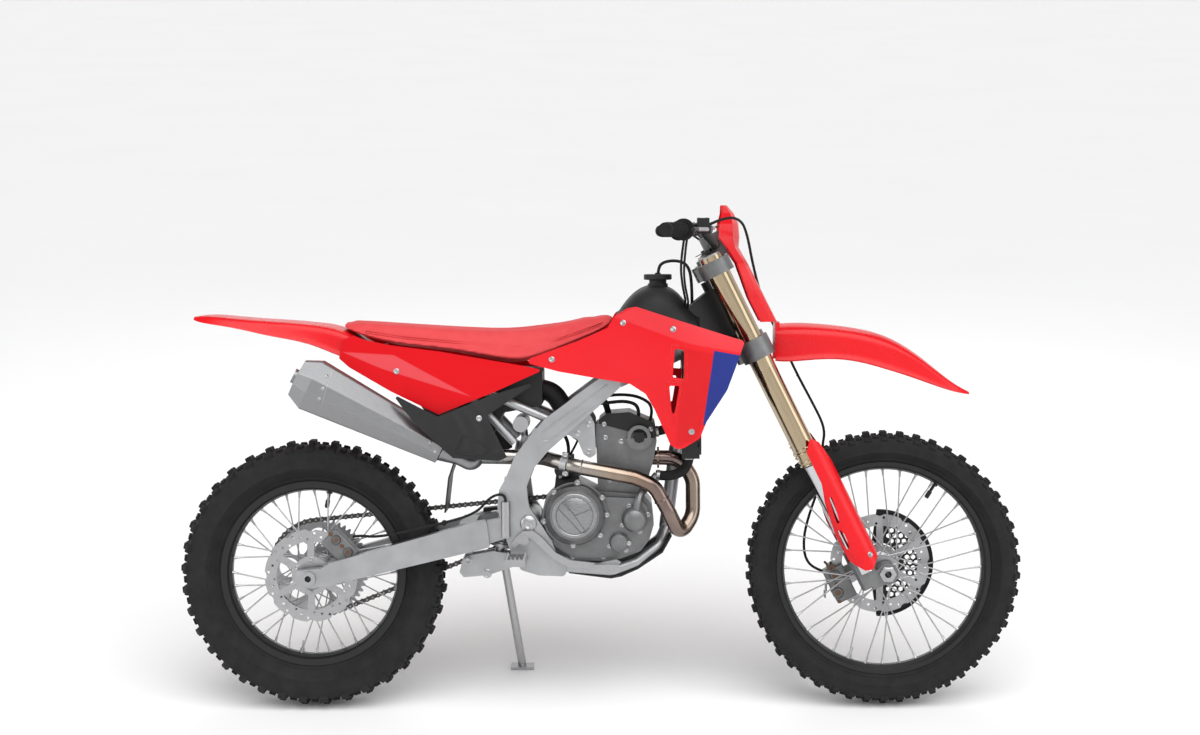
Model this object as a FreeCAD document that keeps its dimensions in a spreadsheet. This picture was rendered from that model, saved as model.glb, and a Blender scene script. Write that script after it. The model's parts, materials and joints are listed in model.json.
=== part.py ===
"""Motocross bike, parked on its side stand.

Everything is modelled upright in the bike frame, in millimetres: X forward from the rear axle,
Y to the left, Z up from the ground. The fork frame has its origin on the fork line level with
the front axle, its Z up along the fork and its X forward. One last placement leans the whole
bike on its side stand and puts the origin under the middle of its box.
"""
import FreeCAD, Part
import Sketcher
import math
import os
from FreeCAD import Matrix, Placement, Rotation, Vector

SIZES = {
    # Stance, in millimetres and degrees
    "wheelbase": 1477,
    "front_tyre_radius": 355,
    "rear_tyre_radius": 346,
    "lean_angle": 9.5,
    "seat_gap": 0.3,
    "clearance": 5,
    "overrun": 20,
    # Steering and fork
    "rake_angle": 26.2,
    "axle_lead": 46,
    "clamp_offset": 20,
    "fork_spread": 98,
    "outer_tube_radius": 29.5,
    "outer_tube_low_radius": 27.5,
    "outer_tube_bottom": 338,
    "outer_tube_top": 922,
    "inner_tube_radius": 24.5,
    "seal_collar_radius": 30.5,
    "seal_collar_length": 34,
    "collar_lap": 1,
    "lower_clamp_height": 636,
    "upper_clamp_height": 872,
    "lower_clamp_depth": 52,
    "upper_clamp_depth": 38,
    "clamp_wall": 13,
    "stem_radius": 14,
    "stem_nut_radius": 17,
    "stem_nut_height": 12,
    "steering_play": 0.5,
    "steering_limit": 43,
    "head_tube_radius": 31,
    "head_gap": 5,
    "lug_radius": 30,
    "lug_height": 66,
    "lug_inner": 78,
    "lug_outer": 118,
    "lug_axle_radius": 27,
    # Wheels
    "front_axle_radius": 12,
    "front_axle_bore": 9,
    "rear_axle_radius": 12.5,
    "rear_axle_bore": 8,
    "axle_running_gap": 0.05,
    "axle_head_radius": 19,
    "axle_head_length": 9,
    "front_rim_inner": 255,
    "front_rim_flange": 276,
    "front_rim_half_width": 27,
    "rear_rim_inner": 214.5,
    "rear_rim_flange": 241,
    "rear_rim_half_width": 33,
    "rim_wall": 3,
    "rim_well": 5,
    "rim_flat_half": 9,
    "front_tyre_half_width": 47,
    "rear_tyre_half_width": 59,
    "front_tread_half_width": 40,
    "rear_tread_half_width": 50,
    "crown_half_width": 18,
    "front_lug_rows": 50,
    "rear_lug_rows": 37,
    "lug_start_share": 0.9,
    "lug_split_share": 0.05,
    "tyre_wall": 9,
    "front_lug_depth": 13,
    "rear_lug_depth": 15,
    "spoke_radius": 1.8,
    "spoke_count": 36,
    "front_hub_half_length": 60,
    "front_hub_radius": 21,
    "front_flange_radius": 36,
    "front_flange_half": 33,
    "rear_hub_half_length": 70,
    "rear_hub_radius": 27,
    "rear_flange_radius": 44,
    "rear_flange_half": 38,
    "hub_flange_thickness": 5,
    # Brakes
    "disc_thickness": 4,
    "front_disc_offset": 61,
    "front_disc_radius": 130,
    "rear_disc_offset": 64,
    "rear_disc_radius": 120,
    "disc_band": 31,
    "front_caliper_length": 92,
    "front_caliper_depth": 22,
    "caliper_lug_gap": 6,
    "rear_caliper_length": 86,
    "rear_caliper_inner": 18,
    "rear_caliper_outer": 17,
    "disc_hub_radius": 50,
    "disc_hub_bore": 36,
    "disc_arm_half_width": 9,
    "disc_hole_radius": 3.4,
    "disc_scallop_radius": 16,
    "disc_scallop_depth": 5,
    "guard_inner_radius": 52,
    "guard_radius": 141,
    "guard_offset": 71,
    "guard_thickness": 3,
    "guard_rim": 8,
    # Chain drive
    "chain_line": 73.5,
    "chain_pitch": 15.875,
    "rear_sprocket_teeth": 50,
    "front_sprocket_teeth": 13,
    "sprocket_thickness": 6,
    "sprocket_bore": 38,
    "countershaft_x": 645,
    "countershaft_z": 503,
    "countershaft_radius": 12,
    "rear_chain_runs": 16,
    "front_chain_runs": 6,
    "chain_height": 15,
    "chain_half_width": 8.5,
    "slider_lap": 2,
    "slider_thickness": 8,
    "slider_rise": 5,
    # Swingarm
    "pivot_x": 565,
    "pivot_z": 488,
    "pivot_tube_radius": 24,
    "pivot_bolt_radius": 10,
    "beam_inner": 82,
    "beam_outer": 112,
    "beam_front_inner": 66,
    "swingarm_x": 47,
    "swingarm_z": 329,
    "swingarm_length": 418,
    "swingarm_height": 165,
    "brace_x": 386,
    "brace_z": 424,
    "brace_length": 40,
    "brace_height": 60,
    "axle_block_x": -32,
    "axle_block_z": 317,
    "axle_block_length": 92,
    "axle_block_height": 69,
    # Frame
    "plate_inner": 100,
    "plate_outer": 124,
    "spar_x": 486,
    "spar_z": 352,
    "spar_length": 314,
    "spar_height": 541,
    "spar_end_low": 833,
    "spar_end_high": 893,
    "head_join_inner": 4,
    "head_join_outer": 29,
    "head_join_low": 712,
    "head_join_high": 850,
    "down_tube_radius": 18,
    "cradle_radius": 14,
    "cross_tube_radius": 12,
    "cross_tube_x": 575,
    "cross_tube_z": 700,
    "hanger_x": 630,
    "hanger_z": 652,
    "hanger_length": 107,
    "hanger_height": 118,
    "hanger_thickness": 10,
    "subframe_radius": 11,
    "skid_x": 665,
    "skid_z": 338,
    "skid_length": 265,
    "skid_height": 109,
    "skid_thickness": 4,
    "skid_half_width": 74,
    # Engine
    "case_x": 596,
    "case_z": 385,
    "case_length": 288,
    "case_height": 205,
    "case_right": 80,
    "case_left": 60,
    "side_cover_depth": 25,
    "side_cover_margin": 12,
    "clutch_x": 683,
    "clutch_z": 510,
    "clutch_radius": 73,
    "clutch_depth": 43,
    "generator_x": 762,
    "generator_z": 474,
    "generator_radius": 62,
    "generator_depth": 30,
    "pump_x": 835,
    "pump_z": 497,
    "pump_radius": 33,
    "pump_depth": 28,
    "filter_x": 795,
    "filter_z": 438,
    "filter_radius": 25,
    "filter_depth": 18,
    "cylinder_x": 735,
    "cylinder_z": 556,
    "cylinder_length": 158,
    "cylinder_height": 183,
    "cylinder_half_width": 62,
    "cam_x": 847,
    "cam_z": 704,
    "cam_radius": 34,
    "cam_depth": 26,
    "cam_boss_height": 78,
    "cam_boss_drop": 42,
    "deck_margin": 4,
    "head_x": 735,
    "head_z": 698,
    "head_length": 158,
    "head_height": 68,
    "head_half_width": 66,
    # Exhaust
    "pipe_radius": 19,
    "muffler_rear_x": 20,
    "muffler_rear_z": 845,
    "muffler_front_x": 345,
    "muffler_front_z": 675,
    "muffler_rear_y": 136,
    "muffler_front_y": 96,
    "muffler_rear_height": 134,
    "muffler_rear_width": 102,
    "muffler_front_height": 74,
    "muffler_front_width": 66,
    "muffler_cap_length": 40,
    # Radiators
    "radiator_x": 955,
    "radiator_z": 655,
    "radiator_depth": 44,
    "radiator_height": 268,
    "radiator_inner": 84,
    "radiator_outer": 156,
    # Tank, seat and bodywork
    "tank_x": 640,
    "tank_z": 860,
    "tank_length": 363,
    "tank_height": 230,
    "tank_half_width": 108,
    "cap_x": 897,
    "cap_z": 1086,
    "cap_radius": 36,
    "cap_height": 24,
    "cap_neck_radius": 26,
    "cap_neck_height": 14,
    "cap_neck_sink": 40,
    "seat_x": 88,
    "seat_z": 896,
    "seat_length": 694,
    "seat_height": 121,
    "seat_half_width": 98,
    "panel_wall": 4,
    "shroud_x": 549,
    "shroud_z": 682,
    "shroud_length": 562,
    "shroud_height": 356,
    "shroud_half_width": 212,
    "side_panel_x": 85,
    "side_panel_z": 766,
    "side_panel_length": 518,
    "side_panel_height": 207,
    "side_panel_half_width": 118,
    "lower_panel_x": 224,
    "lower_panel_z": 648,
    "lower_panel_length": 423,
    "lower_panel_height": 229,
    "lower_panel_half_width": 160,
    "rear_fender_x": -294,
    "rear_fender_z": 900,
    "rear_fender_length": 500,
    "rear_fender_height": 117,
    "rear_fender_half_width": 100,
    "fender_wall": 4,
    "front_fender_x": 1196,
    "front_fender_z": 806,
    "front_fender_length": 498,
    "front_fender_height": 184,
    "front_fender_half_width": 68,
    "number_plate_x": 1054,
    "number_plate_z": 993.9,
    "number_plate_length": 150,
    "number_plate_height": 299,
    "number_plate_half_width": 98,
    "fork_guard_length": 372,
    "fork_guard_bottom": 30,
    # Airbox, mud flap and shock
    "airbox_x": 385,
    "airbox_z": 705,
    "airbox_length": 215,
    "airbox_height": 180,
    "airbox_half_width": 70,
    "intake_radius": 26,
    "port_run": 45,
    "port_rise": 12,
    "mud_flap_half_width": 58,
    "mud_flap_thickness": 4,
    "shock_top_x": 552,
    "shock_top_z": 690,
    "shock_foot_x": 480,
    "shock_foot_z": 385,
    "spring_radius": 31,
    "spring_wire_radius": 5,
    "spring_turns": 7,
    "spring_length": 170,
    "shock_body_radius": 22,
    "shock_rod_radius": 8,
    "shock_eye_radius": 12,
    "shock_eye_half_width": 13,
    "shock_bolt_radius": 7,
    "shock_bolt_half": 40,
    "reservoir_x": 545,
    "reservoir_z": 738,
    "reservoir_radius": 20,
    "reservoir_inner": 15,
    "reservoir_outer": 94,
    "rocker_x": 380,
    "rocker_z": 335,
    "rocker_length": 150,
    "rocker_height": 68,
    "rocker_inner": 14,
    "rocker_outer": 30,
    "beam_corner": 6,
    "rocker_boss_radius": 12,
    "rocker_post_length": 16,
    "link_radius": 9,
    "link_half_width": 20,
    # Foot controls
    "peg_x": 536,
    "peg_z": 403,
    "peg_length": 52,
    "peg_height": 18,
    "peg_inner": 140,
    "peg_outer": 232,
    "peg_wall": 6,
    "pedal_x": 520,
    "pedal_z": 372,
    "pedal_length": 280,
    "pedal_height": 100,
    "pedal_thickness": 10,
    "pedal_gap": 6,
    "toe_pad_length": 34,
    "lever_radius": 6,
    "shift_shaft_x": 664,
    "shift_shaft_z": 430,
    "shift_lever_length": 122,
    "shift_lever_y": 104,
    "shift_toe_length": 40,
    "shift_toe_inner": 6,
    "shift_boss": 8,
    "shift_dip": 8,
    "shift_bend": 60,
    "shift_toe_radius": 9,
    "master_x": 508,
    "master_z": 455,
    "master_height": 90,
    "master_radius": 12,
    # Handlebar
    "bar_radius": 11,
    "bar_clamp_radius": 14.3,
    "bar_clamp_half": 62,
    "bar_x": 1040,
    "bar_z": 1192,
    "bar_rise": 38,
    "bar_bend_x": 1005,
    "bar_bend_y": 165,
    "bar_end_x": 912,
    "bar_end_y": 412,
    "grip_radius": 16.5,
    "grip_length": 122,
    "grip_flange_radius": 27,
    "grip_flange": 5,
    "perch_y": 232,
    "perch_length": 30,
    "perch_radius": 17,
    "blade_radius": 5,
    "blade_gap": 56,
    "reservoir_length": 48,
    "reservoir_width": 30,
    "reservoir_height": 30,
    # Side stand
    "stand_pivot_x": 478,
    "stand_pivot_y": 134,
    "stand_pivot_z": 400,
    "stand_foot_x": 526,
    "stand_foot_y": 250,
    "stand_leg_radius": 11,
    "stand_hinge_radius": 17,
    "stand_hinge_half": 11,
    "stand_axis_tilt": 11.8,
    "stand_foot_length": 62,
    "stand_foot_width": 36,
    "stand_foot_thickness": 8,
}

doc = FreeCAD.newDocument("MotocrossBike")
sheet = doc.addObject("Spreadsheet::Sheet", "Sizes")
for row, (name, value) in enumerate(SIZES.items(), start=1):
    sheet.set("A%d" % row, name)
    sheet.set("B%d" % row, str(value))
    sheet.setAlias("B%d" % row, name)
doc.recompute()


def size(name):
    """Value of one named size, read from the sheet."""
    return float(sheet.get(name))


def outline(piece, shares):
    """Side outline of a piece: shares of its length and height from its low rear corner."""
    x, z = size(piece + "_x"), size(piece + "_z")
    length, height = size(piece + "_length"), size(piece + "_height")
    return [(x + a * length, z + b * height) for a, b in shares]


# Places that several pieces share

RAKE = math.radians(size("rake_angle"))
ALONG = Vector(-math.sin(RAKE), 0, math.cos(RAKE))
AHEAD = Vector(math.cos(RAKE), 0, math.sin(RAKE))
REAR_AXLE = Vector(0, 0, size("rear_tyre_radius"))
FRONT_AXLE = Vector(size("wheelbase"), 0, size("front_tyre_radius"))
FORK_FOOT = FRONT_AXLE - AHEAD * size("axle_lead")
FORK = Placement(FORK_FOOT, Rotation(Vector(0, 1, 0), -size("rake_angle")))
LEAN = Placement(Vector(), Rotation(Vector(1, 0, 0), -size("lean_angle")))
UPRIGHT = Placement()
SIDES = (-1, 1)
UP = Vector(0, 0, 1)
LEFTWARD = Vector(0, 1, 0)
FORWARD = Vector(1, 0, 0)


def fork_point(ahead, y, along):
    """Point of the fork frame, in the bike frame."""
    return FORK.multVec(Vector(ahead, y, along))


# Shape helpers

def rounded_wire(points, radius):
    """Closed wire through the points, with each corner rounded as far as its sides allow."""
    count = len(points)
    edges, ends = [], []
    for i, corner in enumerate(points):
        to_last = points[i - 1] - corner
        to_next = points[(i + 1) % count] - corner
        half = to_last.getAngle(to_next) / 2
        room = 0.45 * min(to_last.Length, to_next.Length)
        setback = min(radius / math.tan(half), room) if radius else 0
        bend = setback * math.tan(half)
        start = corner + to_last.normalize() * setback
        stop = corner + to_next.normalize() * setback
        if setback and math.pi - 2 * half > 0.02:
            middle = (to_last + to_next).normalize()
            top = corner + middle * (bend / math.sin(half) - bend)
            edges.append((i, Part.Arc(start, top, stop).toShape()))
            ends.append((start, stop))
        else:
            edges.append((i, None))
            ends.append((corner, corner))
    path = []
    for i in range(count):
        if edges[i][1] is not None:
            path.append(edges[i][1])
        here, there = ends[i][1], ends[(i + 1) % count][0]
        if (there - here).Length > 1e-6:
            path.append(Part.LineSegment(here, there).toShape())
    return Part.Wire(path)


def prism(points, y_from, y_to, radius=0):
    """Side outline, as (x, z) pairs, made solid from one Y to another."""
    wire = rounded_wire([Vector(x, y_from, z) for x, z in points], radius)
    return Part.Face(wire).extrude(Vector(0, y_to - y_from, 0))


def box(x, y, z, centre):
    """Block of the given sizes about its centre."""
    return Part.makeBox(x, y, z, centre - Vector(x, y, z) * 0.5)


def rod(start, end, radius):
    """Round bar between two points."""
    return Part.makeCylinder(radius, (end - start).Length, start, end - start)


def cone(start, end, radius, end_radius):
    """Tapered bar between two points."""
    if abs(radius - end_radius) < 1e-6:
        return rod(start, end, radius)
    return Part.makeCone(radius, end_radius, (end - start).Length, start, end - start)


def tube_path(points, radius):
    """Straight runs joined by tangent arcs of one radius, or as near it as the runs allow."""
    edges, here = [], points[0]
    for i in range(1, len(points) - 1):
        back, ahead = points[i - 1] - points[i], points[i + 1] - points[i]
        half = back.getAngle(ahead) / 2
        setback = min(radius / math.tan(half), 0.45 * min(back.Length, ahead.Length))
        bend = setback * math.tan(half)
        start = points[i] + back.normalize() * setback
        stop = points[i] + ahead.normalize() * setback
        top = points[i] + (back + ahead).normalize() * (bend / math.sin(half) - bend)
        edges.append(Part.LineSegment(here, start).toShape())
        edges.append(Part.Arc(start, top, stop).toShape())
        here = stop
    edges.append(Part.LineSegment(here, points[-1]).toShape())
    return Part.Wire(edges)


def tube(points, radius, bend):
    """Round tube along straight runs and tangent arcs."""
    if len(points) == 2:
        return rod(points[0], points[1], radius)
    path = tube_path(points, bend)
    ring = Part.Wire(Part.makeCircle(radius, points[0], points[1] - points[0]))
    return path.makePipeShell([ring], True, True)


def joined(shapes):
    """One solid from several that overlap or share faces."""
    shapes = list(shapes)
    if len(shapes) == 1:
        return shapes[0]
    return shapes[0].multiFuse(shapes[1:]).removeSplitter()


def spline_section(points):
    """Closed smooth section through the points."""
    curve = Part.BSplineCurve()
    curve.interpolate(Points=points, PeriodicFlag=True)
    return Part.Wire(curve.toShape())


def smooth_loft(sections):
    """Solid through smooth closed sections."""
    return Part.makeLoft([spline_section(section) for section in sections], True)


def straight_loft(sections):
    """Solid with flat sides through corner sections."""
    wires = [Part.makePolygon(list(section) + [section[0]]) for section in sections]
    return Part.makeLoft(wires, True, True)


def band_section(points, inward, wall):
    """Closed section of a panel: its outer line and the same line moved inwards."""
    inner = [point + inward * wall for point in points]
    outer_line = Part.BSplineCurve()
    outer_line.interpolate(points)
    inner_line = Part.BSplineCurve()
    inner_line.interpolate(inner)
    return Part.Wire([outer_line.toShape(),
                      Part.LineSegment(points[-1], inner[-1]).toShape(),
                      inner_line.toShape(),
                      Part.LineSegment(inner[0], points[0]).toShape()])


def arch_section(points, centre, wall):
    """Closed section of a curved panel, thickened towards a centre line."""
    outer_line = Part.BSplineCurve()
    outer_line.interpolate(points)
    inner = [point + (centre - point).normalize() * wall for point in points]
    inner_line = Part.BSplineCurve()
    inner_line.interpolate(inner)
    return Part.Wire([outer_line.toShape(),
                      Part.LineSegment(points[-1], inner[-1]).toShape(),
                      inner_line.toShape(),
                      Part.LineSegment(inner[0], points[0]).toShape()])


def mirrored(shape):
    """The same shape on the other side of the bike."""
    return shape.mirror(Vector(), LEFTWARD)


def largest(shape):
    """The largest solid of a shape."""
    return max(shape.Solids, key=lambda solid: solid.Volume)


def with_post(panel, x, z, y_from, radius, carrier):
    """Left panel with a mounting post on its inner side that ends on what carries it."""
    way = rod(Vector(x, 0, z), Vector(x, size("wheelbase"), z), radius)
    skin = panel.common(way).optimalBoundingBox(False)
    post = rod(Vector(x, y_from, z), Vector(x, skin.YMin + size("panel_wall") / 2, z), radius)
    post = max(post.cut(carrier).Solids, key=lambda solid: solid.BoundBox.YMax)
    return joined([panel, post])


# Document helpers

pieces = {}


def register(piece, name, frame=UPRIGHT):
    """Gives a sub-part its name and keeps the frame that it was modelled in."""
    piece.Label = name
    pieces[name] = (piece, frame.multiply(piece.Placement))
    return piece


def feature(name, shape, frame=UPRIGHT):
    """Sub-part whose shape is worked out here."""
    piece = doc.addObject("Part::Feature", name)
    piece.Shape = shape
    return register(piece, name, frame)


def sketch_on(body, role, name):
    """Sketch on one of the origin planes of a body."""
    sketch = body.newObject("Sketcher::SketchObject", name)
    plane = [item for item in body.Origin.OriginFeatures if item.Role == role][0]
    sketch.AttachmentSupport = [(plane, "")]
    sketch.MapMode = "FlatFace"
    return sketch


def value_of(sketch, formula):
    return float(sketch.evalExpression(formula))


def hold(sketch, kind, geometry, corner, formula):
    """Dimension from the sketch origin to a corner, bound to a formula."""
    constraint = Sketcher.Constraint(kind, -1, 1, geometry, corner, value_of(sketch, formula))
    index = sketch.addConstraint(constraint)
    if "Sizes" in formula:
        sketch.setExpression("Constraints[%d]" % index, formula)


def draw_polygon(sketch, corners):
    """Closed polygon whose corners are pairs of formulas."""
    places = [Vector(value_of(sketch, u), value_of(sketch, v), 0) for u, v in corners]
    count = len(places)
    for i in range(count):
        sketch.addGeometry(Part.LineSegment(places[i], places[(i + 1) % count]))
    for i in range(count):
        sketch.addConstraint(Sketcher.Constraint("Coincident", i, 2, (i + 1) % count, 1))
        hold(sketch, "DistanceX", i, 1, corners[i][0])
        hold(sketch, "DistanceY", i, 1, corners[i][1])


def draw_circle(sketch, u, v, radius):
    """Circle whose centre and radius are formulas."""
    centre = Vector(value_of(sketch, u), value_of(sketch, v), 0)
    circle = Part.Circle(centre, Vector(0, 0, 1), value_of(sketch, radius))
    index = sketch.addGeometry(circle)
    hold(sketch, "DistanceX", index, 3, u)
    hold(sketch, "DistanceY", index, 3, v)
    constraint = Sketcher.Constraint("Radius", index, value_of(sketch, radius))
    sketch.setExpression("Constraints[%d]" % sketch.addConstraint(constraint), radius)


def turned_body(name, corners):
    """Body turned about its own Y axis, from corners given as radius and Y formulas."""
    body = doc.addObject("PartDesign::Body", name)
    sketch = sketch_on(body, "XY_Plane", name + "_profile")
    draw_polygon(sketch, corners)
    turned = body.newObject("PartDesign::Revolution", name + "_turned")
    turned.Profile = sketch
    turned.ReferenceAxis = (sketch, ["V_Axis"])
    turned.Angle = 360
    body.Tip = turned
    return body


def mirrored_profile(half):
    """Whole profile from its half at positive Y, given as radius and Y formulas."""
    return half + [(u, "-(%s)" % v) for u, v in reversed(half)]


def at_point(point):
    return Placement(point, Rotation())


# Tyres, rims, hubs and discs

def tyre(end):
    """Hollow tyre in flat facets, its lugs by turns on the crown and on the two shoulders."""
    axle = FRONT_AXLE if end == "front" else REAR_AXLE
    rows = int(size(end + "_lug_rows"))
    half_turn = math.pi / rows
    reach = math.cos(half_turn)
    radius, lug = size(end + "_tyre_radius"), size(end + "_lug_depth")
    tread, crown = size(end + "_tread_half_width"), size("crown_half_width")
    flange = size(end + "_rim_flange")
    bead_y = size(end + "_rim_half_width") - size("rim_wall") - size("seat_gap")
    ground = (radius - lug) * reach
    line = [
        (ground, crown),
        ((radius - 1.5 * lug) * reach, 1.04 * tread),
        (0.27 * flange + 0.73 * radius, size(end + "_tyre_half_width")),
        (flange + size("seat_gap"), bead_y),
        (size(end + "_rim_inner") + size("rim_well") + size("rim_wall") + size("seat_gap"),
         bead_y - size("tyre_wall")),
        (ground - size("tyre_wall"), 0.8 * tread),
    ]
    slope = math.tan(half_turn)
    crown_start, crown_end = -size("lug_start_share") * slope, -size("lug_split_share") * slope
    crown_tip = radius / math.sqrt(1 + crown_start ** 2)
    crown_start, crown_end, shoulder_start = crown_start * crown_tip, crown_end * radius, -crown_end * radius
    shoulder_tips = (radius - 0.15 * lug) * reach, (radius - 0.6 * lug) * reach
    faces = []

    def face(*corners):
        """Flat face of one row; a corner holds its place round, out and across."""
        points = [turned_point(axle, turn, *corner) for corner in corners]
        faces.append(Part.Face(Part.makePolygon(points + points[:1])))

    def first(out):
        return -out * slope

    def last(out):
        return out * slope

    for row in range(rows):
        turn = 2 * half_turn * row - math.atan2(crown_start, crown_tip) - math.pi / 2
        for side in SIDES:
            (inner, y), (outer, edge) = line[0], line[1]
            y, edge = side * y, side * edge
            tip, low_tip = shoulder_tips
            face((first(inner), inner, y), (crown_start, inner, y), (crown_end, inner, y),
                 (shoulder_start, inner, y), (shoulder_start, outer, edge), (first(outer), outer, edge))
            face((shoulder_start, tip, y), (last(tip), tip, y), (last(low_tip), low_tip, edge),
                 (shoulder_start, low_tip, edge))
            face((shoulder_start, inner, y), (shoulder_start, tip, y), (shoulder_start, low_tip, edge),
                 (shoulder_start, outer, edge))
            face((last(inner), inner, y), (last(tip), tip, y), (last(low_tip), low_tip, edge),
                 (last(outer), outer, edge))
            face((shoulder_start, inner, y), (last(inner), inner, y), (last(tip), tip, y),
                 (shoulder_start, tip, y))
            face((shoulder_start, outer, edge), (last(outer), outer, edge), (last(low_tip), low_tip, edge),
                 (shoulder_start, low_tip, edge))
            face((crown_start, inner, y), (crown_end, inner, y), (crown_end, crown_tip, y),
                 (crown_start, crown_tip, y))
            (inner, y), (outer, edge) = line[1], line[2]
            face((first(inner), inner, side * y), (shoulder_start, inner, side * y),
                 (last(inner), inner, side * y), (last(outer), outer, side * edge),
                 (first(outer), outer, side * edge))
            for (inner, y), (outer, edge) in zip(line[2:], line[3:]):
                face((first(inner), inner, side * y), (last(inner), inner, side * y),
                     (last(outer), outer, side * edge), (first(outer), outer, side * edge))
        face((crown_end, ground, -crown), (shoulder_start, ground, -crown), (last(ground), ground, -crown),
             (last(ground), ground, crown), (shoulder_start, ground, crown), (crown_end, ground, crown))
        face((first(ground), ground, -crown), (crown_start, ground, -crown), (crown_start, ground, crown),
             (first(ground), ground, crown))
        face((crown_start, crown_tip, -crown), (crown_end, crown_tip, -crown),
             (crown_end, crown_tip, crown), (crown_start, crown_tip, crown))
        face((crown_start, ground, -crown), (crown_start, crown_tip, -crown),
             (crown_start, crown_tip, crown), (crown_start, ground, crown))
        face((crown_end, ground, -crown), (crown_end, crown_tip, -crown), (crown_end, crown_tip, crown),
             (crown_end, ground, crown))
        roof, width = line[-1]
        face((first(roof), roof, -width), (last(roof), roof, -width), (last(roof), roof, width),
             (first(roof), roof, width))
    shell = Part.makeShell(faces)
    shell.sewShape()
    solid = Part.makeSolid(shell)
    if solid.Volume < 0:
        solid.reverse()
    return solid


def turned_point(axle, turn, along, out, across):
    """Point of a wheel row: along its tangent, out from the axle and across the wheel."""
    return axle + Vector(out * math.cos(turn) - along * math.sin(turn), across,
                         out * math.sin(turn) + along * math.cos(turn))


def rim(end):
    """Rim with a flat inner band, a well and two flanges."""
    inner = "Sizes.%s_rim_inner" % end
    flange = "Sizes.%s_rim_flange" % end
    half = "Sizes.%s_rim_half_width" % end
    flat = "Sizes.rim_flat_half"
    return turned_body(end + "_rim", mirrored_profile([
        (inner, flat),
        ("%s + Sizes.rim_well" % inner, "0.8 * %s" % half),
        ("%s + 2 * Sizes.rim_well" % inner, half),
        (flange, half),
        (flange, "%s - Sizes.rim_wall" % half),
        ("%s + Sizes.rim_well + Sizes.rim_wall" % inner, "%s - Sizes.rim_wall" % half),
        ("%s + Sizes.rim_wall" % inner, flat),
    ]))


def spokes(end):
    """Crossed spokes from the hub's flanges to just under the rim, clear of each other."""
    count = int(size("spoke_count"))
    flange_radius = size(end + "_flange_radius") - size("hub_flange_thickness") / 2
    flange_y = size(end + "_flange_half") - size("hub_flange_thickness") / 2
    rim_radius = size(end + "_rim_inner") - 2 * size("seat_gap")
    rim_y = size("rim_flat_half") / 2
    shapes = []
    for i in range(count):
        side = 1 if i % 2 else -1
        lead = 1 if (i // 2) % 2 else -1
        rim_angle = 2 * math.pi * i / count
        hub_angle = rim_angle + lead * math.radians(58)
        across = lead * (size("spoke_radius") + size("seat_gap") / 2)
        foot = Vector(flange_radius * math.cos(hub_angle), side * (flange_y + across),
                      flange_radius * math.sin(hub_angle))
        tip = Vector(rim_radius * math.cos(rim_angle), side * (rim_y + across),
                     rim_radius * math.sin(rim_angle))
        shapes.append(rod(foot, tip, size("spoke_radius")))
    return shapes


def turned(corners):
    """Solid turned about Y from (radius, y) corners."""
    points = [Vector(radius, y, 0) for radius, y in corners]
    face = Part.Face(Part.makePolygon(points + [points[0]]))
    return face.revolve(Vector(), LEFTWARD, 360)


def hub(end, disc_side):
    """Hub with two spoke flanges, bearing seats and a carrier for its disc."""
    half = size(end + "_hub_half_length")
    core, flange = size(end + "_hub_radius"), size(end + "_flange_radius")
    y = size(end + "_flange_half")
    rim_part = size("hub_flange_thickness")
    bore = size(end + "_axle_radius") + size("axle_running_gap")
    seat = size("disc_hub_bore")
    face = size(end + "_disc_offset") - size("disc_thickness") / 2
    ends = {disc_side: (seat - size("seat_gap"), face), -disc_side: (0.8 * seat, half)}
    corners = [(bore, ends[-1][1] * -1)]
    corners += [(ends[-1][0], -ends[-1][1]), (ends[-1][0], -y), (flange, -y)]
    corners += [(flange, rim_part - y), (core, 2 * rim_part - y), (core, y - 2 * rim_part)]
    corners += [(flange, y - rim_part), (flange, y), (ends[1][0], y)]
    corners += [(ends[1][0], ends[1][1]), (bore, ends[1][1])]
    return joined([turned(corners)] + spokes(end))


def brake_disc(end, side):
    """Drilled disc with a scalloped edge, a braking band and arms to its hub ring."""
    radius, band = size(end + "_disc_radius"), size("disc_band")
    thick, y = size("disc_thickness"), side * size(end + "_disc_offset")
    base = Vector(0, y - thick / 2, 0)

    def ring(outer, inner):
        return Part.makeCylinder(outer, thick, base, LEFTWARD).cut(
            Part.makeCylinder(inner, thick, base, LEFTWARD))

    disc = ring(radius, radius - band)
    hub_ring = ring(size("disc_hub_radius"), size("disc_hub_bore"))
    half = size("disc_arm_half_width")
    arms = []
    for i in range(6):
        arm = Part.makeBox(radius - band / 2 - size("disc_hub_bore"), thick, 2 * half,
                           base + Vector(size("disc_hub_bore"), 0, -half))
        arm.rotate(Vector(), LEFTWARD, 60 * i + 30)
        arms.append(arm)
    arms = [arm.cut(Part.makeCylinder(size("disc_hub_bore"), thick, base, LEFTWARD)) for arm in arms]
    disc = joined([disc, hub_ring] + arms)
    cutters = []
    for i in range(12):
        scallop = size("disc_scallop_radius")
        place = Vector(radius + scallop - size("disc_scallop_depth"), 0, 0) + base
        cutter = Part.makeCylinder(scallop, thick, place, LEFTWARD)
        cutter.rotate(Vector(), LEFTWARD, 30 * i)
        cutters.append(cutter)
        for j, depth in enumerate((0.3, 0.55, 0.8)):
            place = Vector(radius - depth * band, 0, 0) + base
            hole = Part.makeCylinder(size("disc_hole_radius"), thick, place, LEFTWARD)
            hole.rotate(Vector(), LEFTWARD, 30 * i + 10 * j + 5)
            cutters.append(hole)
    return disc.cut(Part.makeCompound(cutters))


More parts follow.
